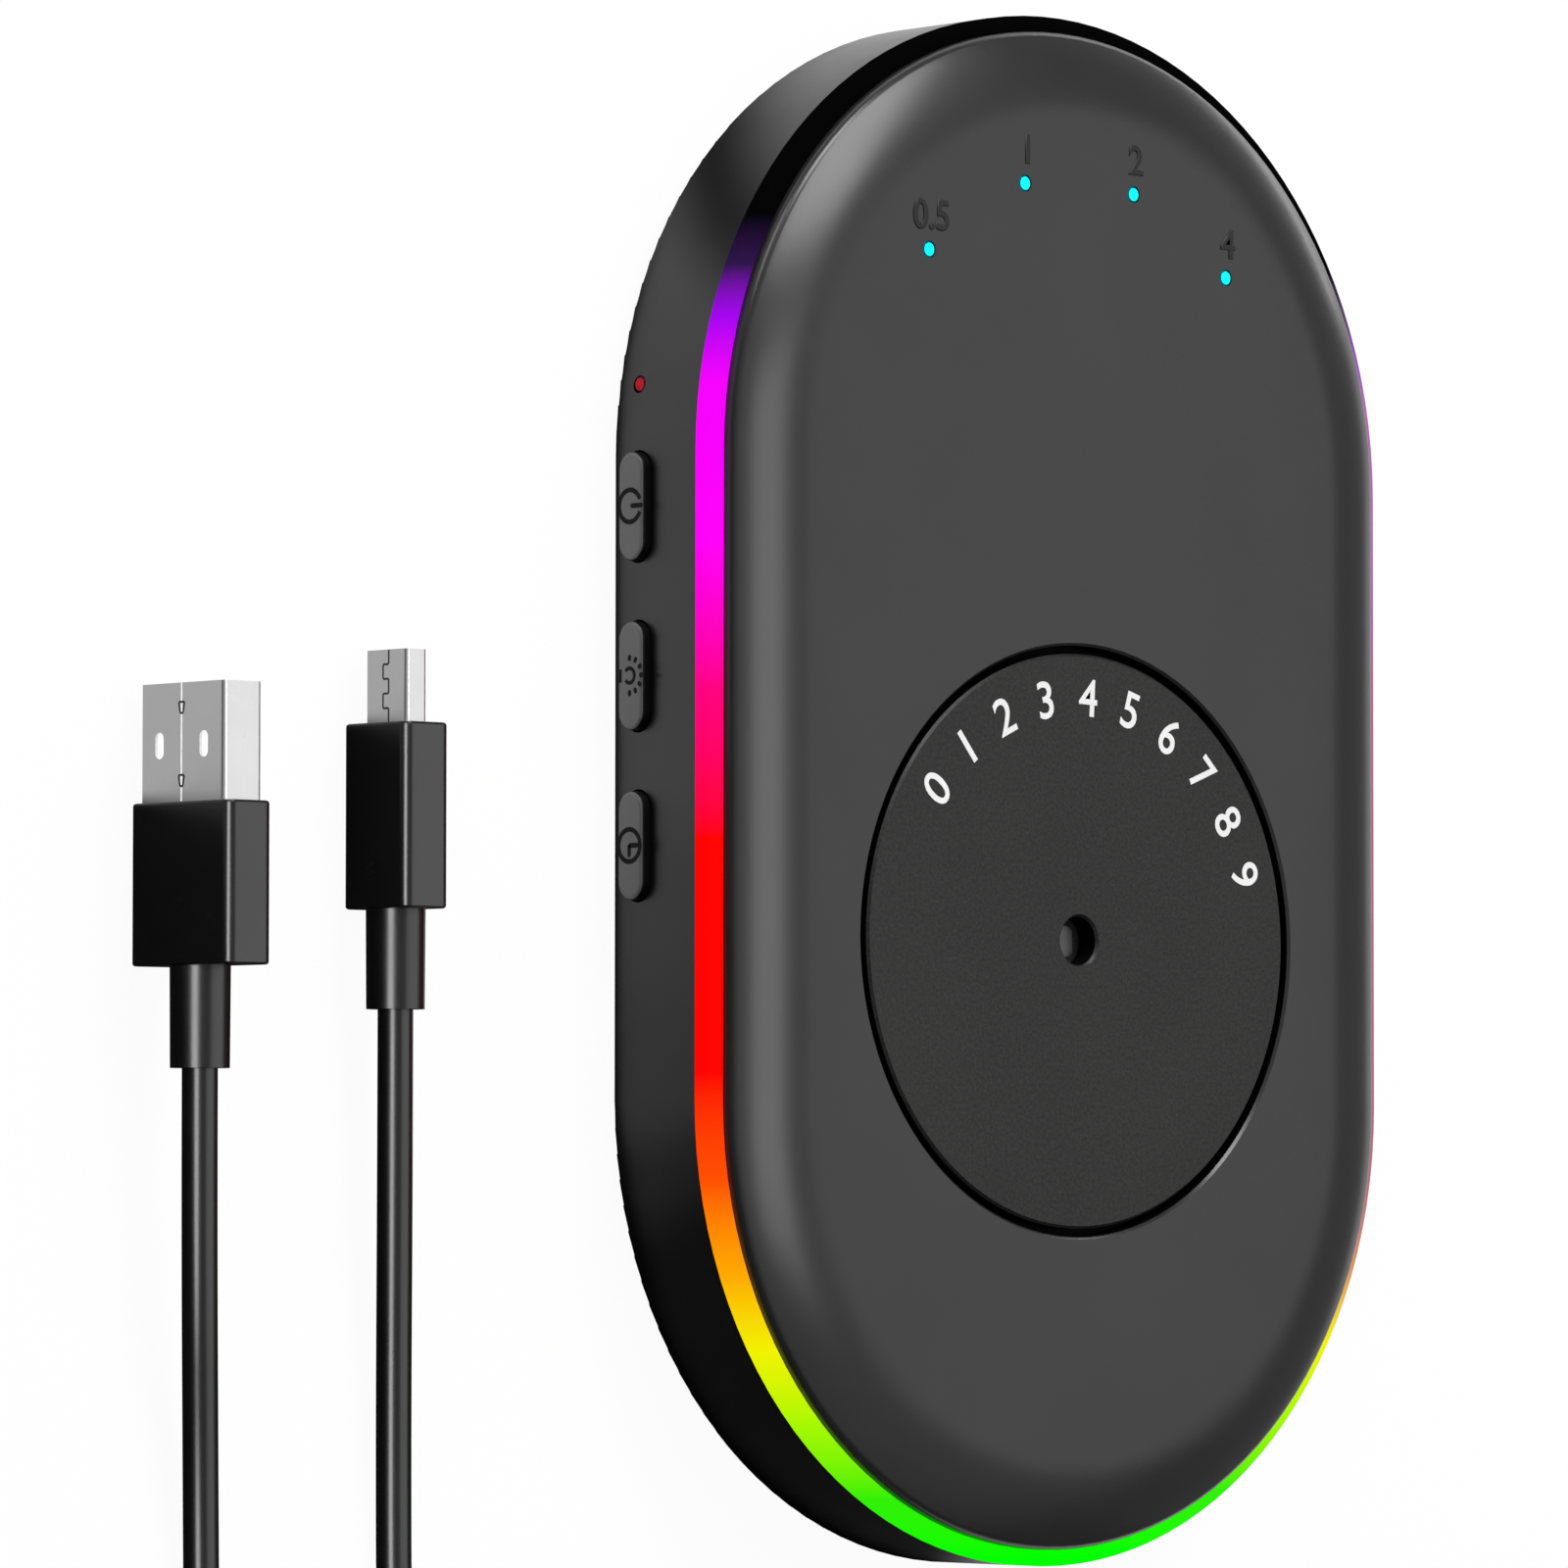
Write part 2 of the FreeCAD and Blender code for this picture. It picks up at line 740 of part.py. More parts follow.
def turntable_disc():
    centre = Vector(0, disc_y, 0)
    rib_z = disc_under - disc_rib_height
    rib_radius = disc_radius - disc_rib_width
    parts = [disc_solid(0, disc_y, disc_under, disc_radius, disc_plate)]
    top_edges = [e for e in parts[0].Edges if e.BoundBox.ZMin > disc_top - fit_gap]
    parts[0] = parts[0].makeChamfer(disc_edge_chamfer, top_edges)
    rim = disc_solid(0, disc_y, rib_z, rib_radius, disc_rib_height + fit_gap)
    parts.append(rim.cut(disc_solid(0, disc_y, 0, rib_radius - disc_rib_width, cover_top)))
    for i in range(disc_rib_count):
        rib = block(disc_hub_radius / 2, rib_radius - disc_rib_width / 2,
                    -disc_rib_width / 2, disc_rib_width / 2, rib_z, disc_under + fit_gap)
        rib.rotate(Vector(0, 0, 0), Vector(0, 0, 1), i * 360 / disc_rib_count)
        parts.append(rib.translated(centre))
    hub_z = roof_top + bush_proud + fit_gap
    parts.append(disc_solid(0, disc_y, hub_z, disc_hub_radius, disc_under - hub_z + fit_gap))
    plate = union(parts)
    hole_z = disc_top - disc_hole_depth
    plate = plate.cut(disc_solid(0, disc_y, hole_z, disc_hole_radius, disc_hole_depth + overrun))
    plate = plate.cut(d_shaft(shaft_radius + press_gap, hub_z - overrun, hole_z + fit_gap))
    mouth = Part.makeCone(disc_hole_radius, disc_hole_radius + disc_edge_chamfer, disc_edge_chamfer,
                          Vector(0, disc_y, disc_top - disc_edge_chamfer))
    return plate.cut(mouth)


def d_shaft(radius, z0, z1):
    """A round bar on the disc's axis with one flat."""
    bar = disc_solid(0, disc_y, z0, radius, z1 - z0)
    flat_x = radius - shaft_flat
    beyond_flat = block(
        flat_x, radius + overrun, disc_y - radius, disc_y + radius, z0 - overrun, z1 + overrun)
    return bar.cut(beyond_flat)


def output_shaft():
    hub_z = roof_top + bush_proud + fit_gap
    tip_z = disc_top - shaft_tip_depth
    bottom = floor_top + gearbox_floor / 2
    lower = disc_solid(0, disc_y, bottom, shaft_radius, hub_z - bottom)
    return lower.fuse(d_shaft(shaft_radius, hub_z, tip_z)).removeSplitter()


def polar(radius, angle):
    return Vector(radius * math.cos(angle), radius * math.sin(angle), 0)


def gear_outline(teeth, addendum, phase):
    """A closed involute outline; phase is the share of a tooth step by which it is turned."""
    pitch_radius = gear_module * teeth / 2
    base_radius = pitch_radius * math.cos(pressure_angle)
    tip_radius = pitch_radius + addendum
    mate_addendum = pinion_addendum + wheel_addendum - addendum
    root_radius = pitch_radius - mate_addendum - gear_root_gap
    start_radius = max(base_radius, root_radius)
    step = 2 * math.pi / teeth
    involute_pitch = math.tan(pressure_angle) - pressure_angle
    half_tooth = step / 4 - backlash / 2 / pitch_radius

    def flank(radius):
        """How far a flank lies from the tooth's middle line at a radius."""
        roll = math.acos(min(base_radius / radius, 1.0))
        return half_tooth + involute_pitch - (math.tan(roll) - roll)

    middle_radius = (start_radius + tip_radius) / 2
    edges = []
    for i in range(teeth):
        middle = (i + phase) * step
        foot, belly, tip = flank(start_radius), flank(middle_radius), flank(tip_radius)
        if start_radius > root_radius:
            edges.append(line(polar(root_radius, middle - foot), polar(start_radius, middle - foot)))
        edges.append(arc(polar(start_radius, middle - foot), polar(middle_radius, middle - belly),
                         polar(tip_radius, middle - tip)))
        edges.append(arc(polar(tip_radius, middle - tip), polar(tip_radius, middle),
                         polar(tip_radius, middle + tip)))
        edges.append(arc(polar(tip_radius, middle + tip), polar(middle_radius, middle + belly),
                         polar(start_radius, middle + foot)))
        if start_radius > root_radius:
            edges.append(line(polar(start_radius, middle + foot), polar(root_radius, middle + foot)))
        next_foot = middle + step - foot
        edges.append(arc(polar(root_radius, middle + foot), polar(root_radius, middle + step / 2),
                         polar(root_radius, next_foot)))
    return Part.Wire(edges)


def gear(teeth, addendum, phase, y, z, height):
    """A spur gear blank on the train's centre line."""
    outline = gear_outline(teeth, addendum, phase)
    return Part.Face(outline).extrude(Vector(0, 0, height)).translated(Vector(0, y, z))


def web_rings(y, z, hub, rim):
    """The two rings that thin a wheel's web from both faces."""
    rings = []
    for low in (z - overrun, z + gear_face - gear_web_depth):
        ring = disc_solid(0, y, low, rim, gear_web_depth + overrun)
        rings.append(ring.cut(disc_solid(0, y, low - overrun, hub, gear_web_depth + 3 * overrun)))
    return group_cut(rings)


def compound_gear(y, wheel_z):
    """A wheel with a pinion on its upper side, bored to run on its axle."""
    rim = wheel_pitch_radius - gear_rim - gear_module
    wheel = gear(idler_teeth, wheel_addendum, 0, y, wheel_z, gear_face)
    wheel = wheel.cut(web_rings(y, wheel_z, pinion_pitch_radius + pinion_addendum, rim))
    pinion_z = wheel_z + gear_face
    pinion = gear(pinion_teeth, pinion_addendum, 0.5, y, pinion_z, level_step + pinion_overlap)
    spacer = disc_solid(0, y, level_a - fit_gap, gear_hub_radius, wheel_z - level_a + fit_gap)
    bore = disc_solid(0, y, 0, axle_radius + running_gap, cover_top)
    return union([wheel, pinion, spacer]).cut(bore)


def idler_gear_a():
    return compound_gear(idler_a_y, level_a)


def idler_gear_b():
    return compound_gear(idler_b_y, level_b)


def output_gear():
    rim = output_pitch_radius - gear_rim - gear_module
    wheel = gear(output_teeth, wheel_addendum, 0, disc_y, level_c, gear_face)
    wheel = wheel.cut(web_rings(disc_y, level_c, output_hub_radius, rim))
    hub_top = roof_z - bush_proud - fit_gap
    hub_low = level_c - pinion_overlap
    hub = disc_solid(0, disc_y, hub_low, output_hub_radius, hub_top - hub_low)
    bore = disc_solid(0, disc_y, 0, shaft_radius + press_gap, cover_top)
    return union([wheel, hub]).cut(bore)


def motor_pinion():
    blank = gear(pinion_teeth, pinion_addendum, 0.5, motor_y, level_a, gear_face)
    return blank.cut(disc_solid(0, motor_y, 0, axle_radius + press_gap, cover_top))


def motor_shaft():
    return disc_solid(0, motor_y, level_a, axle_radius, motor_shaft_length)


def gear_axles():
    low = floor_top + gearbox_floor / 2
    high = roof_top - gearbox_roof / 2
    return group([disc_solid(0, y, low, axle_radius, high - low) for y in (idler_a_y, idler_b_y)])


def gearbox_plan(z, height):
    """The outline that both gearbox plates share, without the motor's end."""
    posts = gearbox_post_places()
    side = posts[1][0]
    near_a = posts[2][1]
    near_b = posts[0][1]
    parts = [disc_solid(0, disc_y, z, output_tip_radius + gearbox_margin, height)]
    parts.append(block(-side, side, near_a, near_b, z, z + height))
    for x, y in posts:
        parts.append(disc_solid(x, y, z, post_radius, height))
    return union(parts)


def gearbox_base():
    """The lower plate with its bearings, screw posts and the bracket that holds the motor."""
    parts = [gearbox_plan(floor_top, gearbox_floor)]
    removed = []
    for x, y in gearbox_post_places():
        parts.append(disc_solid(x, y, floor_top, post_radius, roof_z - floor_top))
        removed.append(disc_solid(x, y, 0, gearbox_screw_radius + fit_gap, cover_top))
        removed.append(disc_solid(x, y, 0, floor_boss_radius + press_gap, floor_top + floor_boss_height))
    for y, radius, gap in ((disc_y, shaft_radius, running_gap), (idler_b_y, axle_radius, press_gap),
                           (idler_a_y, axle_radius, press_gap)):
        parts.append(disc_solid(0, y, floor_top, radius + bearing_wall, gearbox_floor + bearing_height))
        bearing_bottom = floor_top + gearbox_floor / 2 - press_gap
        removed.append(disc_solid(0, y, bearing_bottom, radius + gap, gearbox_floor + bearing_height))
    parts.append(block(-motor_ear_reach, motor_ear_reach, motor_y - motor_ear_radius, idler_a_y,
                       floor_top, gearbox_floor_top))
    parts.append(disc_solid(0, motor_y, motor_seat_z, motor_radius + post_gap, motor_seat_thickness))
    for x in (-motor_ear_reach, motor_ear_reach):
        parts.append(disc_solid(x, motor_y, floor_top, motor_ear_radius, motor_bottom - floor_top))
        parts.append(block(min(x, 0), max(x, 0), motor_y - motor_ear_radius, motor_y + motor_ear_radius,
                           motor_seat_z, motor_bottom))
        pilot_z = floor_top + gearbox_floor
        removed.append(disc_solid(x, motor_y, pilot_z, motor_screw_radius + press_gap, motor_bottom))
    throat = pinion_pitch_radius + pinion_addendum + post_gap
    removed.append(disc_solid(0, motor_y, gearbox_floor_top, throat, motor_bottom))
    return union(parts).cut(group_cut(removed))


def gearbox_top():
    removed = [disc_solid(0, disc_y, 0, shaft_radius + bush_wall + press_gap, cover_top)]
    motor_room = motor_radius + post_gap
    removed.append(disc_solid(0, motor_y, 0, motor_room, cover_top))
    for x, y in gearbox_post_places():
        removed.append(disc_solid(x, y, 0, gearbox_screw_radius + fit_gap, cover_top))
    for y in (idler_a_y, idler_b_y):
        top = roof_top - gearbox_roof / 2 + press_gap
        removed.append(disc_solid(0, y, 0, axle_radius + press_gap, top))
    return gearbox_plan(roof_z, gearbox_roof).cut(group_cut(removed))


def output_bush():
    low = roof_z - bush_proud
    height = gearbox_roof + 2 * bush_proud
    ring = disc_solid(0, disc_y, low, shaft_radius + bush_wall, height)
    return ring.cut(disc_solid(0, disc_y, 0, shaft_radius + running_gap, cover_top))


def screw(x, y, seat_z, shank_radius, head_radius, head_height, length, head_up):
    """A plain round-headed screw; its head bears on the seat."""
    way = 1 if head_up else -1
    shank = Part.makeCylinder(shank_radius, length, Vector(x, y, seat_z), Vector(0, 0, -way))
    head = Part.makeCylinder(head_radius, head_height, Vector(x, y, seat_z), Vector(0, 0, way))
    outer = [e for e in head.Edges if abs(e.BoundBox.ZMin - seat_z - way * head_height) < press_gap]
    head = head.makeChamfer(head_height * screw_chamfer_share, outer)
    socket_radius = head_radius / 2
    socket = Part.makeCylinder(socket_radius, head_height / 2, Vector(x, y, seat_z + way * head_height),
                               Vector(0, 0, -way))
    return head.fuse(shank).removeSplitter().cut(socket)


def case_screws():
    seat = shell_bottom + case_head_depth
    return group([
        screw(x, y, seat, case_screw_radius, case_head_radius, case_head_height, case_screw_length, False)
        for x, y in case_screw_places()])


def board_screws():
    return group([
        screw(x, y, board_top, board_screw_radius, board_head_radius, board_head_height,
              board_screw_reach + board_thickness, True)
        for x, y in board_post_places()])


def gearbox_screws():
    length = roof_top - floor_top
    return group([
        screw(x, y, roof_top, gearbox_screw_radius, gearbox_head_radius, gearbox_head_height, length, True)
        for x, y in gearbox_post_places()])


def motor_screws():
    seat = motor_bottom + motor_ear_thickness
    length = seat - gearbox_floor_top
    return group([
        screw(x, motor_y, seat, motor_screw_radius, motor_head_radius, motor_head_height, length, True)
        for x in (-motor_ear_reach, motor_ear_reach)])


def motor_case():
    """The motor's can, upside down, with its ears, its nose and its two terminals."""
    can = disc_solid(0, motor_y, motor_bottom, motor_radius, motor_height)
    top_edges = [e for e in can.Edges if e.BoundBox.ZMin > motor_top - fit_gap]
    parts = [can.makeFillet(motor_edge_radius, top_edges)]
    ears = pill_wire(Vector(0, motor_y, motor_bottom), motor_ear_reach, motor_ear_radius,
                     Vector(1, 0, 0), Vector(0, 1, 0))
    parts.append(Part.Face(ears).extrude(Vector(0, 0, motor_ear_thickness)))
    parts.append(disc_solid(0, motor_y, motor_bottom - motor_boss_height, motor_boss_radius,
                            motor_boss_height + fit_gap))
    for y in terminal_ys():
        parts.append(block(0, motor_radius + terminal_size, y - terminal_size / 2, y + terminal_size / 2,
                           terminal_z() - terminal_height / 2, terminal_z() + terminal_height / 2))
    removed = [disc_solid(0, motor_y, 0, axle_radius + running_gap, level_a + motor_shaft_length + press_gap)]
    for x in (-motor_ear_reach, motor_ear_reach):
        removed.append(disc_solid(x, motor_y, 0, motor_screw_radius + fit_gap, cover_top))
    return union(parts).cut(group_cut(removed))


def terminal_z():
    return motor_bottom + motor_ear_thickness + motor_head_height + terminal_height


def terminal_ys():
    return (motor_y - 2 * terminal_size, motor_y + 2 * terminal_size)


def board_outline(z, height):
    """The end of the oval, with a leg along the keys."""
    inner = oval_plate(board_edge_inset, z, z + height)
    end = block(-case_width, case_width, board_low_y(), case_length, z, z + height)
    leg = block(-case_width, board_leg_width - end_radius, board_leg_y(), case_length, z, z + height)
    return inner.common(end.fuse(leg).removeSplitter())


def main_board():
    board = board_outline(board_z, board_thickness)
    removed = [disc_solid(x, y, 0, board_hole_radius, cover_top) for x, y in board_post_places()]
    for x, y in case_screw_places():
        if y > 0:
            removed.append(disc_solid(x, y, 0, case_boss_radius + post_gap, cover_top))
    return board.cut(group_cut(removed))


def chip(place_shares, length, width, height, pins_along_x, pins_along_y):
    """A moulded package with a row of legs on each of its sides that has any."""
    x, y = on_board(place_shares)
    stand = pin_thickness
    half = length / 2
    deep = width / 2
    parts = [block(x - half, x + half, y - deep, y + deep, board_top + stand, board_top + height)]
    for i in range(pins_along_x):
        along = x + (i - (pins_along_x - 1) / 2) * pin_pitch
        reach = width / 2 + pin_length
        parts.append(block(along - pin_width / 2, along + pin_width / 2, y - reach, y + reach,
                           board_top, board_top + stand))
    for i in range(pins_along_y):
        along = y + (i - (pins_along_y - 1) / 2) * pin_pitch
        reach = length / 2 + pin_length
        parts.append(block(x - reach, x + reach, along - pin_width / 2, along + pin_width / 2,
                           board_top, board_top + stand))
    return union(parts)


def control_chip():
    return chip(chip_place_shares, chip_size, chip_size, chip_height, chip_pins, chip_pins)


def driver_chip():
    return chip(driver_place_shares, driver_length, driver_width, driver_height, driver_pins, 0)


def capacitors():
    cans = []
    for place_shares in capacitor_places_shares:
        x, y = on_board(place_shares)
        can = disc_solid(x, y, board_top, capacitor_radius, capacitor_height)
        top_edges = [e for e in can.Edges if e.BoundBox.ZMin > board_top + capacitor_height - fit_gap]
        cans.append(can.makeChamfer(capacitor_radius * can_chamfer_share, top_edges))
    return group(cans)


def crystal():
    x, y = on_board(crystal_place_shares)
    radius = crystal_width / 2
    outline = pill_wire(Vector(x, y, board_top), crystal_length / 2 - radius, radius,
                        Vector(1, 0, 0), Vector(0, 1, 0))
    can = Part.Face(outline).extrude(Vector(0, 0, crystal_height))
    top_edges = [e for e in can.Edges if e.BoundBox.ZMin > board_top + crystal_height - fit_gap]
    return can.makeChamfer(radius * can_chamfer_share, top_edges)


def motor_socket():
    """An open-topped plug housing on the board."""
    x, y = on_board(motor_socket_place_shares)
    half = motor_socket_length / 2
    deep = motor_socket_width / 2
    body = block(x - half, x + half, y - deep, y + deep, board_top, board_top + motor_socket_height)
    room = block(x - half + motor_socket_wall, x + half - motor_socket_wall,
                 y - deep + motor_socket_wall, y + deep - motor_socket_wall,
                 board_top + motor_socket_height / 2, board_top + motor_socket_height + overrun)
    return body.cut(room)


def usb_socket():
    """The metal shell of the socket, open towards the end wall."""
    far = case_length / 2 - socket_recess_depth - fit_gap
    z = board_top + socket_height / 2
    shell = rounded_bar(0, z, socket_width, socket_height, far - socket_length, far, socket_corner)
    room = rounded_bar(0, z, socket_width - 2 * socket_wall, socket_height - 2 * socket_wall,
                       far - socket_length + socket_wall, far + overrun, socket_corner - socket_wall)
    return shell.cut(room)


def usb_socket_tongue():
    far = case_length / 2 - socket_recess_depth - fit_gap
    back = far - socket_length + socket_wall
    z = board_top + socket_height / 2 + fit_gap
    half = socket_tongue_width / 2
    return block(-half, half, back, back + socket_tongue_length, z, z + socket_tongue_height)


def time_lamps():
    lamps = []
    for x, y in time_lamp_places():
        lamps.append(block(x - time_lamp_length / 2, x + time_lamp_length / 2,
                           y - time_lamp_width / 2, y + time_lamp_width / 2,
                           board_top, board_top + time_lamp_height))
    return group(lamps)


def time_lights():
    """Stepped light guides from the lamps up to the cover's face."""
    guides = []
    for x, y in time_lamp_places():
        low = board_top + time_lamp_height + time_guide_gap
        shoulder = cover_top - time_guide_tip - fit_gap
        body = disc_solid(x, y, low, time_guide_radius, shoulder - low)
        tip = disc_solid(x, y, shoulder, time_hole_radius, cover_top - shoulder)
        rim = [e for e in tip.Edges if e.BoundBox.ZMin > cover_top - fit_gap]
        guides.append(body.fuse(tip.makeChamfer(time_guide_chamfer, rim)).removeSplitter())
    return group(guides)


def status_light():
    """The small stepped guide of the status lamp."""
    face = wall_x(status_y) + press_gap
    inside = status_inside_x()
    way = Vector(1, 0, 0)
    tip_start = Vector(face, status_y, status_z)
    tip = Part.makeCylinder(status_hole_radius - press_gap, inside - face, tip_start, way)
    rim = [e for e in tip.Edges if e.BoundBox.XMax < face + fit_gap]
    tip = tip.makeChamfer(status_tip_chamfer, rim)
    body = Part.makeCylinder(status_body_radius, status_body_length, Vector(inside, status_y, status_z), way)
    return tip.fuse(body).removeSplitter()


def status_inside_x():
    """Just inside the curved wall, clear of it all over the guide's end."""
    return wall_x(status_y + status_body_radius, wall) + fit_gap


def status_lamp():
    x = status_inside_x() + status_body_length + fit_gap
    half = status_lamp_length / 2
    low = board_z - status_lamp_height
    return block(x, x + status_lamp_depth, status_y - half, status_y + half, low, board_z)


def key_cap(y):
    """A key that slides in its slot, with a flange behind the wall and a stem to its switch."""
    face = -end_radius - key_proud
    inner = -end_radius + wall + fit_gap
    cap = pill_along_x(face, inner + fit_gap, y, key_z, key_length, key_width)
    outer_edges = [e for e in cap.Edges if e.BoundBox.XMax < face + fit_gap]
    cap = cap.makeFillet(key_edge_radius, outer_edges)
    flange_length = key_length + 2 * key_flange_lip
    flange = pill_along_x(inner, inner + key_flange_thickness, y, key_z, flange_length, key_width)
    back = inner + key_flange_thickness
    stem = block(inner, back + key_stem_depth, y - key_stem_length / 2, y + key_stem_length / 2,
                 key_z - key_stem_height / 2, key_z + key_stem_height / 2)
    return union([cap, flange, stem])


def stem_end_x():
    return -end_radius + wall + fit_gap + key_flange_thickness + key_stem_depth


def switch_body(y):
    front = stem_end_x() + switch_clear
    body = block(front, front + switch_depth, y - switch_length / 2, y + switch_length / 2,
                 floor_top + post_gap, board_z)
    hole = Part.makeCylinder(plunger_radius + running_gap, plunger_hole_depth, Vector(front, y, key_z),
                             Vector(1, 0, 0))
    return body.cut(hole)


def switch_plunger(y):
    return Part.makeCylinder(plunger_radius, plunger_length, Vector(stem_end_x(), y, key_z), Vector(1, 0, 0))


def rubber_feet():
    feet = []
    for x, y in foot_places():
        foot = disc_solid(x, y, 0, foot_radius, foot_stand_off + foot_recess)
        low_edges = [e for e in foot.Edges if e.BoundBox.ZMax < fit_gap]
        feet.append(foot.makeChamfer(foot_edge_chamfer, low_edges))
    return group(feet)


def rounded_path(points, report_name):
    """Straight runs joined by tangent arcs, each arc as large as its two runs allow."""
    points = [Vector(*p) for p in points]
    edges = []
    radii = []
    start = points[0]
    for before, corner, after in zip(points, points[1:], points[2:]):
        into = (corner - before).normalize()
        out = (after - corner).normalize()
        turn = into.getAngle(out)
        shorter = min((corner - before).Length, (after - corner).Length)
        reach = bend_reach_share * shorter
        radii.append(reach / math.tan(turn / 2))
        first = corner - into * reach
        last = corner + out * reach
        inward = (out - into).normalize()
        sag = reach / math.sin(turn / 2) - reach / math.tan(turn / 2)
        edges.append(line(start, first))
        edges.append(arc(first, corner + inward * sag, last))
        start = last
    edges.append(line(start, points[-1]))
    print(report_name, "bend radii", [round(r, 1) for r in radii])
    return Part.Wire(edges)


def tube(path, radius, name):
    """A round bar along a path, with its volume set against its section times its length."""
    first = path.Edges[0]
    start = first.Vertexes[0].Point
    direction = first.tangentAt(first.FirstParameter)
    circle = Part.Wire(Part.Circle(start, direction, radius).toShape())
    shape = path.makePipeShell([circle], True, False)
    plain = math.pi * radius ** 2 * path.Length
    print(name, "length", round(path.Length, 1), "volume share", round(shape.Volume / plain, 4))
    return shape


def cord_a():
    return tube(rounded_path(cord_a_route, "cord_a"), cord_diameter / 2, "cord_a")


def cord_b():
    return tube(rounded_path(cord_b_route, "cord_b"), cord_diameter / 2, "cord_b")


def coil_height(turns):
    """The cord's height: level in each layer, with an even climb in the half turn in the middle."""
    share = (turns - coil_turns / 2) * 2 + 0.5
    share = min(max(share, 0.0), 1.0)
    return coil_low_z + coil_layer_step * share * share * (3 - 2 * share)


def coil_point(turns):
    """The cord's middle after so many turns: in along the lower layer and out along the upper."""
    radius = coil_min_radius + coil_pitch * abs(turns - coil_turns / 2)
    angle = -2 * math.pi * turns
    return Vector(coil_x + radius * math.cos(angle), coil_y + radius * math.sin(angle), coil_height(turns))


def coil_heading(turns):
    step = coil_heading_step
    if turns < step or turns > coil_turns - step:
        return Vector(0, -1 if turns < step else 1, 0)
    return (coil_point(turns + step) - coil_point(turns - step)).normalize()


def biarc(p0, t0, p1, t1):
    """Two arcs from p0 to p1 that leave and arrive along the given headings."""
    chord = p1 - p0
    headings = t0 + t1
    a = 2 * (1 - t0.dot(t1))
    b = chord.dot(headings)
    reach = (-b + math.sqrt(b * b + a * chord.dot(chord))) / a
    corner0 = p0 + t0 * reach
    corner1 = p1 - t1 * reach
    joint = (corner0 + corner1) * 0.5
    return [tangent_arc(p0, corner0, joint), tangent_arc(joint, corner1, p1)]


def tangent_arc(start, corner, end):
    """The arc from start to end whose tangents meet at the corner."""
    chord_middle = (start + end) * 0.5
    half_chord = (end - start).Length / 2
    rise = corner - chord_middle
    half_turn = math.atan2(rise.Length, half_chord)
    sag = half_chord * math.tan(half_turn / 2)
    return arc(start, chord_middle + rise.normalize() * sag, end)


def coil_path():
    """Biarcs of a quarter turn, with a straight end at each side."""
    quarters = int(coil_turns * 4)
    enter = coil_point(0)
    leave = coil_point(coil_turns)
    straight = Vector(0, cord_diameter, 0)
    edges = [line(enter + straight, enter)]
    for i in range(quarters):
        here = i / 4
        there = (i + 1) / 4
        edges += biarc(coil_point(here), coil_heading(here), coil_point(there), coil_heading(there))
    edges.append(line(leave, leave + straight))
    return Part.Wire(edges)


def print_coil_gap():
    """The least gap between the coil's turns, measured on points along the cord."""
    per_turn = coil_check_count
    count = int(coil_turns * per_turn)
    points = [coil_point(i / per_turn) for i in range(count + 1)]
    apart = per_turn // 2
    least = min(
        points[i].distanceToPoint(points[j])
        for i in range(len(points)) for j in range(i + apart, len(points)))
    print("cord_coil least gap", round(least - cord_diameter, 2))


def cord_coil():
    print_coil_gap()
    return tube(coil_path(), cord_diameter / 2, "cord_coil")


def cord_tie():
    """A strap round the bundle on the side next to the case."""
    nearest = coil_min_radius + coil_pitch / 2 - cord_diameter / 2
    furthest = coil_min_radius + coil_pitch * (coil_turns / 2 - tie_turns) + cord_diameter / 2
    inner_y = coil_y + nearest - tie_side_gap
    outer_y = coil_y + furthest + tie_side_gap
    low = coil_lift - tie_gap
    high = coil_high_z + cord_diameter / 2 + tie_gap
    x0 = coil_x - tie_width / 2
    x1 = coil_x + tie_width / 2
    across = Vector(1, 0, 0)
    t = tie_thickness
    outside = block(x0, x1, inner_y - t, outer_y + t, low - t, high + t)
    outside = outside.makeFillet(2 * t, edges_along(outside, across))
    room = block(x0 - overrun, x1 + overrun, inner_y, outer_y, low, high)
    return outside.cut(room.makeFillet(t, edges_along(room, across)))


def overmould(x, z, width, height, front_y, length, seat_width, seat_height):
    """A plug's moulded grip, with the pocket that its metal shell sits in."""
    back_y = front_y - length
    grip = rounded_bar(x, z, width, height, back_y, front_y, plug_edge_radius)
    ends = [
        e for e in grip.Edges
        if e.BoundBox.YMax < back_y + fit_gap or e.BoundBox.YMin > front_y - fit_gap]
    grip = grip.makeFillet(plug_end_radius, ends)
    pocket = rounded_bar(x, z, seat_width, seat_height, front_y - shell_seat, front_y + overrun, shell_corner)
    return grip.cut(pocket)


def plug_shell(x, z, width, height, front_y, length):
    """A folded metal sleeve, open at the front."""
    tip = front_y + length
    back = front_y - shell_seat
    sleeve = rounded_bar(x, z, width, height, back, tip, shell_corner)
    room = rounded_bar(x, z, width - 2 * shell_wall, height - 2 * shell_wall, back - overrun, tip + overrun,
                       shell_corner - shell_wall)
    return sleeve.cut(room)


def relief(x, z, start_y):
    """A tapered sleeve from the grip to the cord."""
    return Part.makeCone(relief_start_radius, relief_end_radius, relief_length, Vector(x, start_y, z),
                         Vector(0, -1, 0))


def usb_a_shell():
    sleeve = plug_shell(plug_a_x, plug_a_z, shell_a_width, shell_a_height, plug_a_front_y, shell_a_length)
    y = plug_a_front_y + shell_a_length - slot_from_front
    start = plug_a_x - shell_a_width
    end = plug_a_x + shell_a_width
    slots = []
    for side in (-1, 1):
        z = plug_a_z + side * slot_spacing / 2
        slots.append(pill_along_x(start, end, y, z, slot_length, slot_width))
    return sleeve.cut(group_cut(slots))


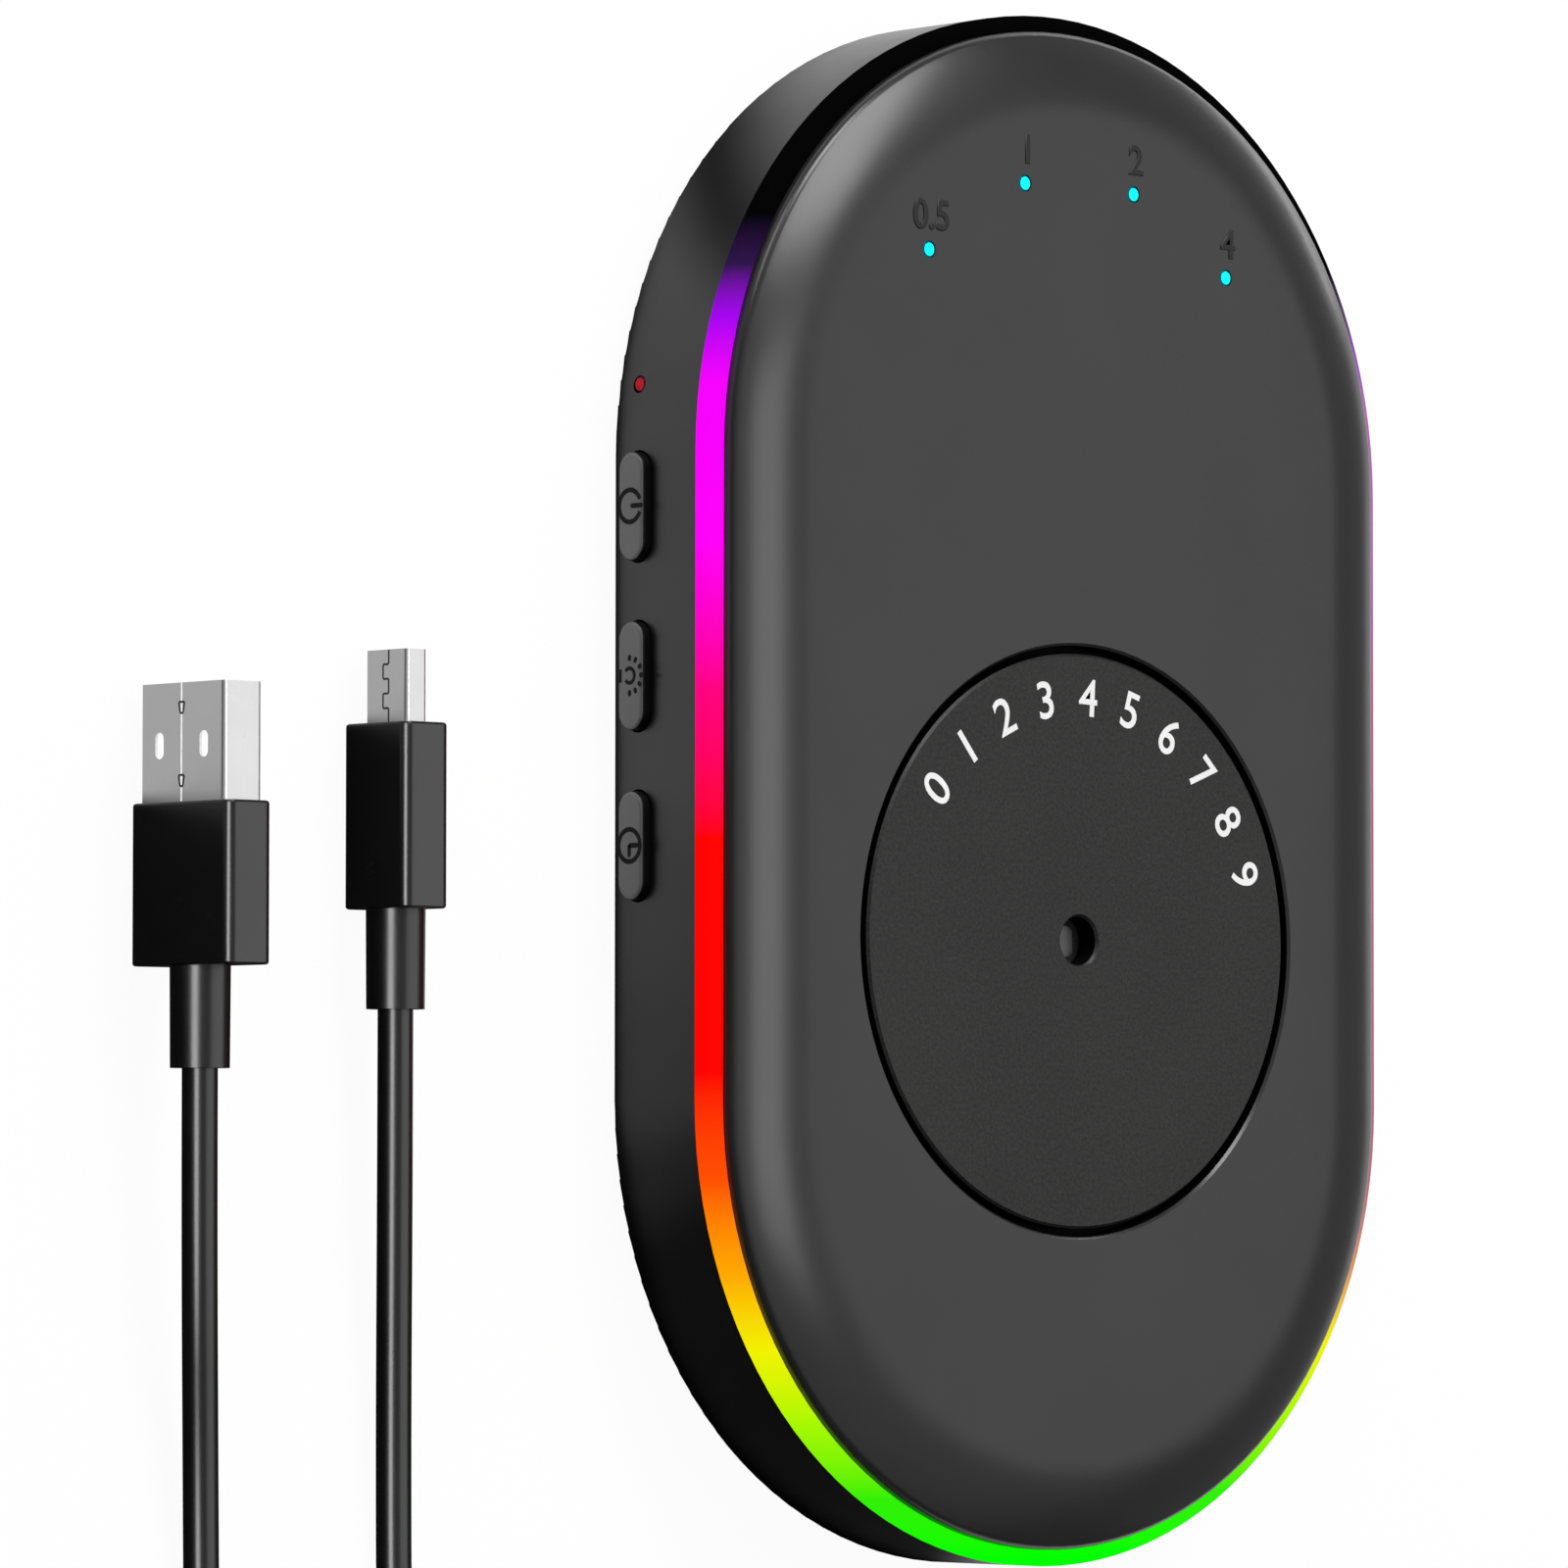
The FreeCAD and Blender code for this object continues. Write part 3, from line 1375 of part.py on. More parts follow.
def usb_a_tongue():
    """The contact carrier, which fills the sleeve on the seam side."""
    low_x = plug_a_x - shell_a_width / 2 + shell_wall + tongue_gap
    half = shell_a_height / 2 - shell_wall - tongue_gap
    front = plug_a_front_y + shell_a_length - tongue_setback
    return block(low_x, low_x + tongue_a_thickness, plug_a_front_y - shell_seat, front,
                 plug_a_z - half, plug_a_z + half)


def usb_a_contacts():
    x = plug_a_x - shell_a_width / 2 + shell_wall + tongue_gap + tongue_a_thickness
    front = plug_a_front_y + shell_a_length - 2 * tongue_setback
    strips = []
    for i in range(contact_count):
        z = plug_a_z + (i - (contact_count - 1) / 2) * contact_pitch
        strips.append(block(x, x + contact_thickness, front - contact_length, front,
                            z - contact_width / 2, z + contact_width / 2))
    return group(strips)


def usb_a_overmould():
    return overmould(plug_a_x, plug_a_z, plug_a_width, plug_a_height, plug_a_front_y, plug_a_length,
                     shell_a_width, shell_a_height)


def usb_a_relief():
    return relief(plug_a_x, plug_a_z, plug_a_front_y - plug_a_length)


def small_shell():
    return plug_shell(plug_b_x, plug_b_z, shell_b_width, shell_b_height, plug_b_front_y, shell_b_length)


def small_tongue():
    """The small plug's contact carrier, on one side of its sleeve."""
    low_x = plug_b_x - shell_b_width / 2 + shell_wall + tongue_gap
    half = shell_b_height / 2 - shell_wall - tongue_gap
    front = plug_b_front_y + shell_b_length - tongue_setback
    return block(low_x, low_x + tongue_b_thickness, plug_b_front_y - shell_seat, front,
                 plug_b_z - half, plug_b_z + half)


def small_overmould():
    return overmould(plug_b_x, plug_b_z, plug_b_width, plug_b_height, plug_b_front_y, plug_b_length,
                     shell_b_width, shell_b_height)


def small_relief():
    return relief(plug_b_x, plug_b_z, plug_b_front_y - plug_b_length)


def motor_leads():
    """From each terminal round the gearbox's side and up into the socket on the board."""
    leads = []
    socket_x, socket_y = on_board(motor_socket_place_shares)
    plug_y = socket_y - motor_socket_width / 2 - fit_gap
    plug_z = board_top + motor_socket_height / 4
    side_x = gearbox_post_places()[1][0] + post_radius + lead_side_gap
    bend_x = motor_radius + lead_bend_reach
    turn_y = motor_y + lead_turn_from_motor
    rise_y = board_low_y() - lead_rise_before_board
    for i, y in enumerate(terminal_ys()):
        shift = (0.5 - i) * lead_spacing
        route = (
            (motor_radius + terminal_size, y, terminal_z()),
            (bend_x + shift, y, terminal_z()),
            (side_x + shift, turn_y, lead_low_z),
            (side_x + shift, rise_y, plug_z),
            (socket_x + shift, plug_y, plug_z),
        )
        leads.append(tube(rounded_path(route, "motor lead"), lead_radius, "motor lead"))
    return group(leads)


def key_parts():
    parts = {}
    for name, y in key_y.items():
        parts[name + "_button"] = key_cap(y)
        parts[name + "_switch"] = switch_body(y)
        parts[name + "_plunger"] = switch_plunger(y)
    return parts


makers = (
    bottom_shell, light_ring, top_cover, lamp_strip, ring_lamps,
    turntable_disc, output_shaft, output_gear, idler_gear_a, idler_gear_b, gear_axles,
    gearbox_base, gearbox_top, output_bush, gearbox_screws,
    motor_case, motor_shaft, motor_pinion, motor_screws, motor_leads,
    main_board, board_screws, control_chip, driver_chip, capacitors, crystal,
    motor_socket, usb_socket, usb_socket_tongue, time_lamps, time_lights,
    status_lamp, status_light, case_screws, rubber_feet,
    usb_a_shell, usb_a_tongue, usb_a_contacts, usb_a_overmould, usb_a_relief,
    small_shell, small_tongue, small_overmould, small_relief,
    cord_a, cord_b, cord_coil, cord_tie,
)

os.makedirs("parts", exist_ok=True)
pieces = {make.__name__: make() for make in makers}
pieces.update(key_parts())
for node, shape in pieces.items():
    if not shape.isValid():
        print("not valid:", node)
    shape.exportStep("parts/" + node + ".step")
print(len(pieces), "pieces")
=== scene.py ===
import math

import bpy
from mathutils import Matrix, Vector

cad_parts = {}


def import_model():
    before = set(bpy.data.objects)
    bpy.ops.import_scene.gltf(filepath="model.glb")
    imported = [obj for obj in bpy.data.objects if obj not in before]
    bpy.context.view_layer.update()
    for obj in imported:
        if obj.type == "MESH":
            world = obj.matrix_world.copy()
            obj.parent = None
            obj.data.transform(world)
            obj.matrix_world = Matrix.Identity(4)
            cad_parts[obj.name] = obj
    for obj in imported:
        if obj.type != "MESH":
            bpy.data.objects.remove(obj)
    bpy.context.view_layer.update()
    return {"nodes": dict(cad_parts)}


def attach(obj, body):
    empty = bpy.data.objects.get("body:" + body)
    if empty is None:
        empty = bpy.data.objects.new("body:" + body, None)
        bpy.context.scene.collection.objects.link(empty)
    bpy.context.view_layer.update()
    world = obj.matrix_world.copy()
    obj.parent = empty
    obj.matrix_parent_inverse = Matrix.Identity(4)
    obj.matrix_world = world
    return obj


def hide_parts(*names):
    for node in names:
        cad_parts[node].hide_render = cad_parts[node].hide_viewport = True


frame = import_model()

# Sizes shared with the part, in metres
mm = 0.001
case_radius = 44.5 * mm
case_straight_half = 30.5 * mm
key_face_x = -45.6 * mm
key_z = 4.3 * mm
key_places = {"power": 25.6 * mm, "light": 9.575 * mm, "timer": -6.45 * mm}
cover_top = 18.1 * mm
disc_top = 18.0 * mm
disc_y = -14.8 * mm
disc_radius = 27.7 * mm
disc_hole_radius = 2.35 * mm
well_radius = 28.5 * mm
edge_chamfer = 0.25 * mm
lamp_circle = 28.1 * mm
lamp_circle_y = 30.8 * mm
lamp_angles = (45.0, 15.0, -15.0, -45.0)
cord_diameter = 3.3 * mm
plug_a_z = 7.3 * mm
shell_a_face_x = -101.55 * mm
shell_a_front_y, shell_a_tip_y = -4.1 * mm, 6.6 * mm
plug_b_z = 4.7 * mm
shell_b_face_x = -75.7 * mm
shell_b_front_y, shell_b_tip_y = 4.0 * mm, 10.75 * mm
coil_x, coil_y = -83.2 * mm, -122.0 * mm
coil_low_z, coil_high_z = 2.45 * mm, 6.55 * mm
coil_min_radius = 13.0 * mm
coil_pitch = 4.1 * mm
coil_turns = 6.5
weld = 0.001 * mm
smooth_angle = math.radians(28)


def screen(red, green, blue):
    """A colour as it shows on a screen, from 0 to 255, as the shader wants it."""
    shares = [value / 255 for value in (red, green, blue)]
    linear = [s / 12.92 if s < 0.04045 else ((s + 0.055) / 1.055) ** 2.4 for s in shares]
    return (*linear, 1.0)


# Materials

def new_material(name):
    """A material with an empty Principled shader; returns the material, its nodes' adder and the shader."""
    material = bpy.data.materials.new(name)
    material.use_nodes = True
    tree = material.node_tree
    shader = tree.nodes["Principled BSDF"]

    def add(kind, **settings):
        node = tree.nodes.new(kind)
        for key, value in settings.items():
            if key in node.inputs:
                node.inputs[key].default_value = value
            else:
                setattr(node, key, value)
        return node

    return material, add, shader


def join(material, start, end):
    material.node_tree.links.new(start, end)


def object_coordinates(material, add):
    return add("ShaderNodeTexCoord").outputs["Object"]


def grain(material, add, shader, size, depth):
    """A fine moulded texture, as bumps of one size."""
    noise = add("ShaderNodeTexNoise", Scale=1 / size, Detail=3.0, Roughness=0.6)
    join(material, object_coordinates(material, add), noise.inputs["Vector"])
    bump = add("ShaderNodeBump", Strength=1.0, Distance=depth)
    join(material, noise.outputs["Fac"], bump.inputs["Height"])
    join(material, bump.outputs["Normal"], shader.inputs["Normal"])


def shades(material, add, value, places, dark, light, socket):
    """Two shades, reached where the value passes the two places, and a smooth change between them."""
    ramp = add("ShaderNodeValToRGB")
    for stop, position, colour in zip(ramp.color_ramp.elements, places, (dark, light)):
        stop.position = position
        stop.color = screen(*colour)
    join(material, value, ramp.inputs["Fac"])
    join(material, ramp.outputs["Color"], socket)


def spread(material, add, value, ends, results, socket):
    """Carries a value from one range to another, for a socket."""
    node = add("ShaderNodeMapRange")
    for name, level in zip(("From Min", "From Max", "To Min", "To Max"), (*ends, *results)):
        node.inputs[name].default_value = level
    join(material, value, node.inputs["Value"])
    join(material, node.outputs["Result"], socket)


shade_places = (0.35, 0.65)
gloss_places = (0.3, 0.7)
lens_places = (0.2, 0.45)
speckle_places = (0.38, 0.62)
plastic_shade_size = 14 * mm
plastic_gloss_size = 6 * mm
metal_shade_size = 4 * mm
metal_line_share = 0.05
lens_shade_size = 0.8 * mm


def mottle(material, add, shader, dark, light, size):
    """A colour that wanders between two close shades."""
    noise = add("ShaderNodeTexNoise", Scale=1 / size, Detail=4.0, Roughness=0.55)
    join(material, object_coordinates(material, add), noise.inputs["Vector"])
    shades(material, add, noise.outputs["Fac"], shade_places, dark, light, shader.inputs["Base Color"])


def worn_gloss(material, add, shader, gloss, size):
    """Roughness that varies a little, as on a handled surface."""
    noise = add("ShaderNodeTexNoise", Scale=1 / size, Detail=5.0, Roughness=0.6)
    join(material, object_coordinates(material, add), noise.inputs["Vector"])
    spread(material, add, noise.outputs["Fac"], gloss_places, gloss, shader.inputs["Roughness"])


def moulded(name, dark, light, gloss, grain_mm, depth_mm, specular=0.5):
    """A moulded plastic: two close shades, a gloss range and a fine grain, its size in millimetres."""
    material, add, shader = new_material(name)
    mottle(material, add, shader, dark, light, plastic_shade_size)
    worn_gloss(material, add, shader, gloss, plastic_gloss_size)
    grain(material, add, shader, grain_mm * mm, depth_mm * mm)
    shader.inputs["Specular IOR Level"].default_value = specular
    return material


def metal(name, dark, light, gloss, along, line_mm, depth_mm=0.002):
    """A drawn or ground metal: fine lines stretched along one axis, their size in millimetres."""
    material, add, shader = new_material(name)
    shader.inputs["Metallic"].default_value = 1.0
    mottle(material, add, shader, dark, light, metal_shade_size)
    stretch = add("ShaderNodeMapping")
    scale = [1.0, 1.0, 1.0]
    scale[along] = metal_line_share
    stretch.inputs["Scale"].default_value = scale
    join(material, object_coordinates(material, add), stretch.inputs["Vector"])
    noise = add("ShaderNodeTexNoise", Scale=1 / (line_mm * mm), Detail=3.0)
    join(material, stretch.outputs["Vector"], noise.inputs["Vector"])
    spread(material, add, noise.outputs["Fac"], (0.0, 1.0), gloss, shader.inputs["Roughness"])
    bump = add("ShaderNodeBump", Strength=0.5, Distance=depth_mm * mm)
    join(material, noise.outputs["Fac"], bump.inputs["Height"])
    join(material, bump.outputs["Normal"], shader.inputs["Normal"])
    return material


def lamp_or_painted_glow(name, dark, light, strength):
    """A clear lamp lens that glows, a little less evenly in places; also used for a painted glow on parts
    that are no lamps.
    """
    material, add, shader = new_material(name)
    shader.inputs["Base Color"].default_value = screen(*dark)
    shader.inputs["Roughness"].default_value = 0.3
    shader.inputs["Specular IOR Level"].default_value = 0.1
    shader.inputs["Emission Strength"].default_value = strength
    noise = add("ShaderNodeTexNoise", Scale=1 / lens_shade_size, Detail=1.0)
    join(material, object_coordinates(material, add), noise.inputs["Vector"])
    shades(material, add, noise.outputs["Fac"], lens_places, dark, light, shader.inputs["Emission Color"])
    return material


def speckled_plastic():
    """The disc's spark-eroded face: a fine pale and dark speckle over slow, slightly warm shades."""
    material, add, shader = new_material("disc_plastic")
    worn_gloss(material, add, shader, (0.44, 0.5), 9 * mm)
    shader.inputs["Specular IOR Level"].default_value = 0.43
    grain(material, add, shader, 0.3 * mm, 0.02 * mm)
    speckle = add("ShaderNodeTexNoise", Scale=1 / (0.34 * mm), Detail=2.0, Roughness=0.7)
    slow = add("ShaderNodeTexNoise", Scale=1 / (24 * mm), Detail=2.0)
    for noise in (speckle, slow):
        join(material, object_coordinates(material, add), noise.inputs["Vector"])
    both = add("ShaderNodeMix")
    both.inputs["Factor"].default_value = 0.2
    join(material, speckle.outputs["Fac"], both.inputs["A"])
    join(material, slow.outputs["Fac"], both.inputs["B"])
    shades(material, add, both.outputs["Result"], speckle_places, (4, 3, 3), (34, 33, 32),
           shader.inputs["Base Color"])
    return material


# The ring's colours at heights along the case, in millimetres
ring_colours = (
    (-74.0, (0, 255, 0)), (-68.0, (50, 240, 5)), (-61.0, (165, 248, 0)), (-54.0, (242, 242, 0)),
    (-47.0, (255, 170, 0)), (-38.0, (255, 80, 0)), (-28.0, (255, 2, 0)), (-6.0, (255, 2, 0)),
    (8.0, (255, 0, 128)), (22.0, (255, 0, 248)), (37.0, (245, 0, 255)), (43.0, (165, 2, 240)),
    (48.0, (48, 20, 76)), (53.0, (0, 0, 0)),
)
# On the right the ring is only seen edge on: a painted pale sheen, how far it pales the glow there, from
# where to where
ring_painted_sheen = (150, 118, 142)
ring_painted_sheen_places = (38 * mm, 44 * mm)
ring_painted_sheen_share = 0.85


def ring_light():
    """The smoked ring with lamps behind it: a rainbow that fades out at the far end, with a painted pale
    sheen on its right side.
    """
    material, add, shader = new_material("ring_light")
    shader.inputs["Base Color"].default_value = screen(5, 5, 5)
    shader.inputs["Roughness"].default_value = 0.18
    shader.inputs["Specular IOR Level"].default_value = 0.0
    shader.inputs["Emission Strength"].default_value = 1.0
    parts = add("ShaderNodeSeparateXYZ")
    join(material, object_coordinates(material, add), parts.inputs["Vector"])
    low, high = ring_colours[0][0] * mm, ring_colours[-1][0] * mm
    ramp = add("ShaderNodeValToRGB")
    stops = ramp.color_ramp.elements
    for height, _ in ring_colours[1:-1]:
        stops.new((height * mm - low) / (high - low))
    for stop, (_, colour) in zip(stops, ring_colours):
        stop.color = screen(*colour)
    spread(material, add, parts.outputs["Y"], (low, high), (0.0, 1.0), ramp.inputs["Fac"])
    # Painted reflection: the glow turns pale towards the right, as a painted sheen
    painted_sheen = add("ShaderNodeMix")
    painted_sheen.data_type = "RGBA"
    painted_sheen.inputs["B"].default_value = screen(*ring_painted_sheen)
    spread(material, add, parts.outputs["X"], ring_painted_sheen_places, (0.0, ring_painted_sheen_share), painted_sheen.inputs["Factor"])
    join(material, ramp.outputs["Color"], painted_sheen.inputs["A"])
    join(material, painted_sheen.outputs["Result"], shader.inputs["Emission Color"])
    return material


def board_laminate():
    """Green solder mask with copper runs showing through as paler lines."""
    material, add, shader = new_material("board_laminate")
    shader.inputs["Roughness"].default_value = 0.35
    runs = add("ShaderNodeTexBrick", Scale=1 / (9 * mm))
    runs.inputs["Color1"].default_value = screen(18, 82, 44)
    runs.inputs["Color2"].default_value = screen(14, 70, 38)
    runs.inputs["Mortar"].default_value = screen(60, 128, 72)
    runs.inputs["Mortar Size"].default_value = 0.03
    join(material, object_coordinates(material, add), runs.inputs["Vector"])
    join(material, runs.outputs["Color"], shader.inputs["Base Color"])
    grain(material, add, shader, 0.6 * mm, 0.004 * mm)
    return material


finishes = {
    "case": moulded("case_plastic", (12, 12, 13), (15, 15, 16), (0.3, 0.34), 0.22, 0.004),
    "cover": moulded("cover_plastic", (36, 36, 36), (39, 39, 39), (0.23, 0.25), 0.3, 0.002),
    # Painted shade: the hour numbers are in the cover's own plastic, made darker for the shade at their edges
    "relief": moulded("relief_painted_shade", (14, 14, 14), (20, 20, 20), (0.4, 0.45), 0.3, 0.004, 0.4),
    # Painted shade: the well's walls, the disc's flanks and its hole, black for the shade in the gap
    "gap": moulded("gap_painted_shade", (6, 6, 6), (9, 9, 9), (0.5, 0.6), 0.3, 0.006, 0.05),
    "disc": speckled_plastic(),
    "ring": ring_light(),
    "key_face": moulded("key_face", (86, 86, 86), (92, 92, 92), (0.4, 0.46), 0.25, 0.008),
    # Painted shade: the keys' flanks are made near black for the shadow they stand in
    "key_side_painted_shade": moulded("key_side_painted_shade", (8, 8, 8), (12, 12, 12), (0.4, 0.5), 0.25, 0.008, 0.15),
    "white_print": moulded("white_print", (236, 236, 236), (246, 246, 246), (0.5, 0.6), 0.2, 0.004),
    "dark_print": moulded("dark_print", (6, 6, 6), (9, 9, 9), (0.5, 0.6), 0.2, 0.004, 0.1),
    "blue_lamp": lamp_or_painted_glow("blue_lamp", (0, 205, 215), (0, 240, 250), 1.0),
    # Painted shade: the lens rims glow darker, for the shade round each lens
    "blue_rim": lamp_or_painted_glow("blue_lamp_rim_painted_shade", (0, 60, 72), (0, 88, 104), 0.9),
    "red_lamp": lamp_or_painted_glow("red_lamp", (105, 2, 12), (150, 5, 22), 0.9),
    "red_rim": lamp_or_painted_glow("red_lamp_rim_painted_shade", (26, 1, 3), (40, 2, 5), 0.8),
    "gear": moulded("gear_acetal", (222, 220, 212), (232, 230, 222), (0.3, 0.4), 0.3, 0.004),
    "gearbox": moulded("gearbox_plastic", (52, 53, 56), (60, 61, 64), (0.45, 0.55), 0.4, 0.01),
    "inner": moulded("inner_plastic", (24, 24, 25), (30, 30, 31), (0.4, 0.5), 0.3, 0.006),
    "pale": moulded("pale_plastic", (234, 234, 232), (244, 244, 242), (0.35, 0.45), 0.3, 0.004),
    # Painted glow: the USB-A tongue is no lamp, but glows so that the shell's slots show white
    "tongue": lamp_or_painted_glow("tongue_painted_glow", (226, 226, 226), (240, 240, 240), 0.8),
    "strip": moulded("strip_mask", (222, 222, 216), (232, 232, 226), (0.4, 0.5), 0.5, 0.003),
    "lamp": moulded("lamp_resin", (240, 236, 214), (246, 243, 226), (0.25, 0.35), 0.5, 0.003),
    "foot": moulded("foot_rubber", (30, 30, 30), (36, 36, 36), (0.75, 0.85), 0.3, 0.02, 0.3),
    "plug": moulded("plug_plastic", (4, 4, 4), (7, 7, 7), (0.24, 0.28), 0.4, 0.0005),
    "cord": moulded("cord_skin", (2, 2, 2), (4, 4, 4), (0.27, 0.3), 0.4, 0.0005),
    "board": board_laminate(),
    "shaft": metal("shaft_steel", (96, 96, 97), (108, 108, 109), (0.35, 0.45), 2, 0.15),
    "pin": metal("pin_steel", (196, 197, 200), (206, 207, 210), (0.2, 0.3), 2, 0.15),
    "screw": metal("screw_steel", (120, 121, 124), (134, 135, 138), (0.3, 0.42), 2, 0.2),
    "can": metal("can_steel", (190, 191, 194), (202, 203, 206), (0.25, 0.35), 2, 0.25),
    "brass": metal("bearing_brass", (206, 168, 96), (216, 180, 108), (0.25, 0.35), 2, 0.2),
    "shell": metal("plug_nickel", (224, 224, 224), (227, 227, 227), (0.26, 0.28), 1, 0.2, 0.0005),
    "seam": metal("seam_shade", (70, 70, 70), (84, 84, 84), (0.4, 0.5), 1, 0.2),
    # Painted highlight: the joint glows though it is no lamp, for the bright line along it
    "seam_painted_glow": lamp_or_painted_glow("seam_painted_glow", (196, 196, 196), (214, 214, 214), 0.8),
}

node_finish = {
    "ring": ("light_ring",),
    "shaft": ("output_shaft",),
    "gear": ("output_gear", "idler_gear_a", "idler_gear_b"),
    "gearbox": ("gearbox_base", "gearbox_top"),
    "inner": ("control_chip", "driver_chip", "usb_socket_tongue", "small_tongue",
              "power_switch", "light_switch", "timer_switch"),
    "pale": ("motor_socket", "power_plunger", "light_plunger", "timer_plunger"),
    # the USB-A tongue gets the painted glow
    "tongue": ("usb_a_tongue",),
    "strip": ("lamp_strip",),
    "lamp": ("ring_lamps", "time_lamps", "status_lamp"),
    "foot": ("rubber_feet",),
    "cord": ("cord_tie", "motor_leads"),
    "board": ("main_board",),
    "pin": ("gear_axles", "motor_shaft"),
    "screw": ("gearbox_screws", "motor_screws", "board_screws", "case_screws"),
    "can": ("motor_case", "crystal", "capacitors", "usb_socket"),
    "brass": ("output_bush", "motor_pinion", "usb_a_contacts"),
}


def dress(piece, finish):
    piece.data.materials.clear()
    piece.data.materials.append(finishes[finish])


def dress_nodes():
    for finish, names in node_finish.items():
        for name in names:
            dress(frame["nodes"][name], finish)


# Modelling helpers

bar_round_share = 0.48
ring_corners = 48


def clear_selection():
    if bpy.context.mode != "OBJECT":
        bpy.ops.object.mode_set(mode="OBJECT")
    bpy.ops.object.select_all(action="DESELECT")


def pick(*pieces):
    clear_selection()
    for piece in pieces:
        piece.select_set(True)
    bpy.context.view_layer.objects.active = pieces[0]


def settle(piece, name, finish, body):
    """Puts the piece's place into its mesh, names it, dresses it and makes it ride."""
    pick(piece)
    bpy.ops.object.transform_apply(location=True, rotation=True, scale=True)
    piece.name = name
    piece.data.name = name
    dress(piece, finish)
    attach(piece, body)
    return piece


def rounded_bar(width, length, thickness):
    """A flat bar with round ends that stands on z = 0 and points along Y."""
    clear_selection()
    bpy.ops.mesh.primitive_cube_add(size=1)
    bar = bpy.context.object
    bar.scale = (width, length, thickness)
    bar.location = (0, 0, thickness / 2)
    bpy.ops.object.transform_apply(location=True, rotation=True, scale=True)
    bpy.ops.object.mode_set(mode="EDIT")
    bpy.ops.mesh.select_mode(type="EDGE")
    bpy.ops.mesh.select_all(action="DESELECT")
    bpy.ops.object.mode_set(mode="OBJECT")
    for edge in bar.data.edges:
        start, end = (bar.data.vertices[i].co for i in edge.vertices)
        edge.select = abs(start.z - end.z) > thickness / 2
    bpy.ops.object.mode_set(mode="EDIT")
    bpy.ops.mesh.bevel(offset=width * bar_round_share, segments=4, affect="EDGES")
    bpy.ops.object.mode_set(mode="OBJECT")
    return bar


def flat_ring(outer, inner, thickness, gap_start, gap_end, centre=(0, 0)):
    """A flat ring that stands on z = 0, open between two angles in degrees from +X."""
    clear_selection()
    bpy.ops.mesh.primitive_circle_add(vertices=ring_corners, radius=outer, location=(*centre, 0))
    ring = bpy.context.object
    bpy.ops.object.mode_set(mode="EDIT")
    bpy.ops.mesh.select_all(action="SELECT")
    bpy.ops.mesh.extrude_region_move()
    bpy.ops.transform.resize(value=(inner / outer, inner / outer, 1), center_override=(*centre, 0))
    bpy.ops.mesh.select_mode(type="FACE")
    bpy.ops.mesh.select_all(action="DESELECT")
    bpy.ops.object.mode_set(mode="OBJECT")
    for face in ring.data.polygons:
        angle = math.degrees(math.atan2(face.center.y, face.center.x)) % 360
        face.select = gap_start < angle < gap_end
    bpy.ops.object.mode_set(mode="EDIT")
    bpy.ops.mesh.delete(type="FACE")
    bpy.ops.mesh.select_all(action="SELECT")
    bpy.ops.mesh.extrude_region_move(TRANSFORM_OT_translate={"value": (0, 0, thickness)})
    bpy.ops.mesh.select_all(action="SELECT")
    bpy.ops.mesh.normals_make_consistent(inside=False)
    bpy.ops.object.mode_set(mode="OBJECT")
    return ring


def place(piece, x, y, angle):
    """Moves a flat piece within its plane and turns it, clockwise from +Y in degrees."""
    piece.location = (x, y, 0)
    piece.rotation_euler = (0, 0, -math.radians(angle))
    pick(piece)
    bpy.ops.object.transform_apply(location=True, rotation=True, scale=True)
    return piece


def merge(pieces):
    pick(*pieces)
    if len(pieces) > 1:
        bpy.ops.object.join()
    return bpy.context.object


def refine(node_name, finish, body, second_finish=None, is_second=None):
    """A welded, smoothed copy in a node's place, with a second finish on the faces that pass a test."""
    node = frame["nodes"][node_name]
    piece = bpy.data.objects.new(node_name + "_skin", node.data.copy())
    bpy.context.scene.collection.objects.link(piece)
    pick(piece)
    bpy.ops.mesh.customdata_custom_splitnormals_clear()
    bpy.ops.object.mode_set(mode="EDIT")
    bpy.ops.mesh.select_all(action="SELECT")
    bpy.ops.mesh.remove_doubles(threshold=weld)
    bpy.ops.object.mode_set(mode="OBJECT")
    bpy.ops.object.shade_smooth_by_angle(angle=smooth_angle)
    dress(piece, finish)
    for face in piece.data.polygons:
        face.material_index = 0
    if second_finish:
        piece.data.materials.append(finishes[second_finish])
        for face in piece.data.polygons:
            if is_second(face.center, face.normal):
                face.material_index = 1
    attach(piece, body)
    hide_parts(node_name)
    return piece


def from_disc_middle(point):
    return math.hypot(point.x, point.y - disc_y)


# The case's outer pieces, with tests that find their gaps, flanks and rims, which are given painted shade

wall_reach = weld * 20
flank_reach = weld * 200
key_edge_depth = 0.4 * mm
slanted = 0.5
nearly_flat = 0.9


def in_well(centre, normal):
    return from_disc_middle(centre) < well_radius + wall_reach and centre.z < cover_top - edge_chamfer


def disc_flank(centre, normal):
    radius = from_disc_middle(centre)
    at_edge = radius > disc_radius - flank_reach or radius < disc_hole_radius + wall_reach
    return at_edge and abs(normal.z) < slanted or normal.z < -slanted


# The flanks found here get painted shade
def key_flank(centre, normal):
    return -normal.x < slanted or centre.x > key_face_x + key_edge_depth


def lamp_rim(centre, normal):
    return normal.z < nearly_flat


def status_rim(centre, normal):
    return -normal.x < nearly_flat


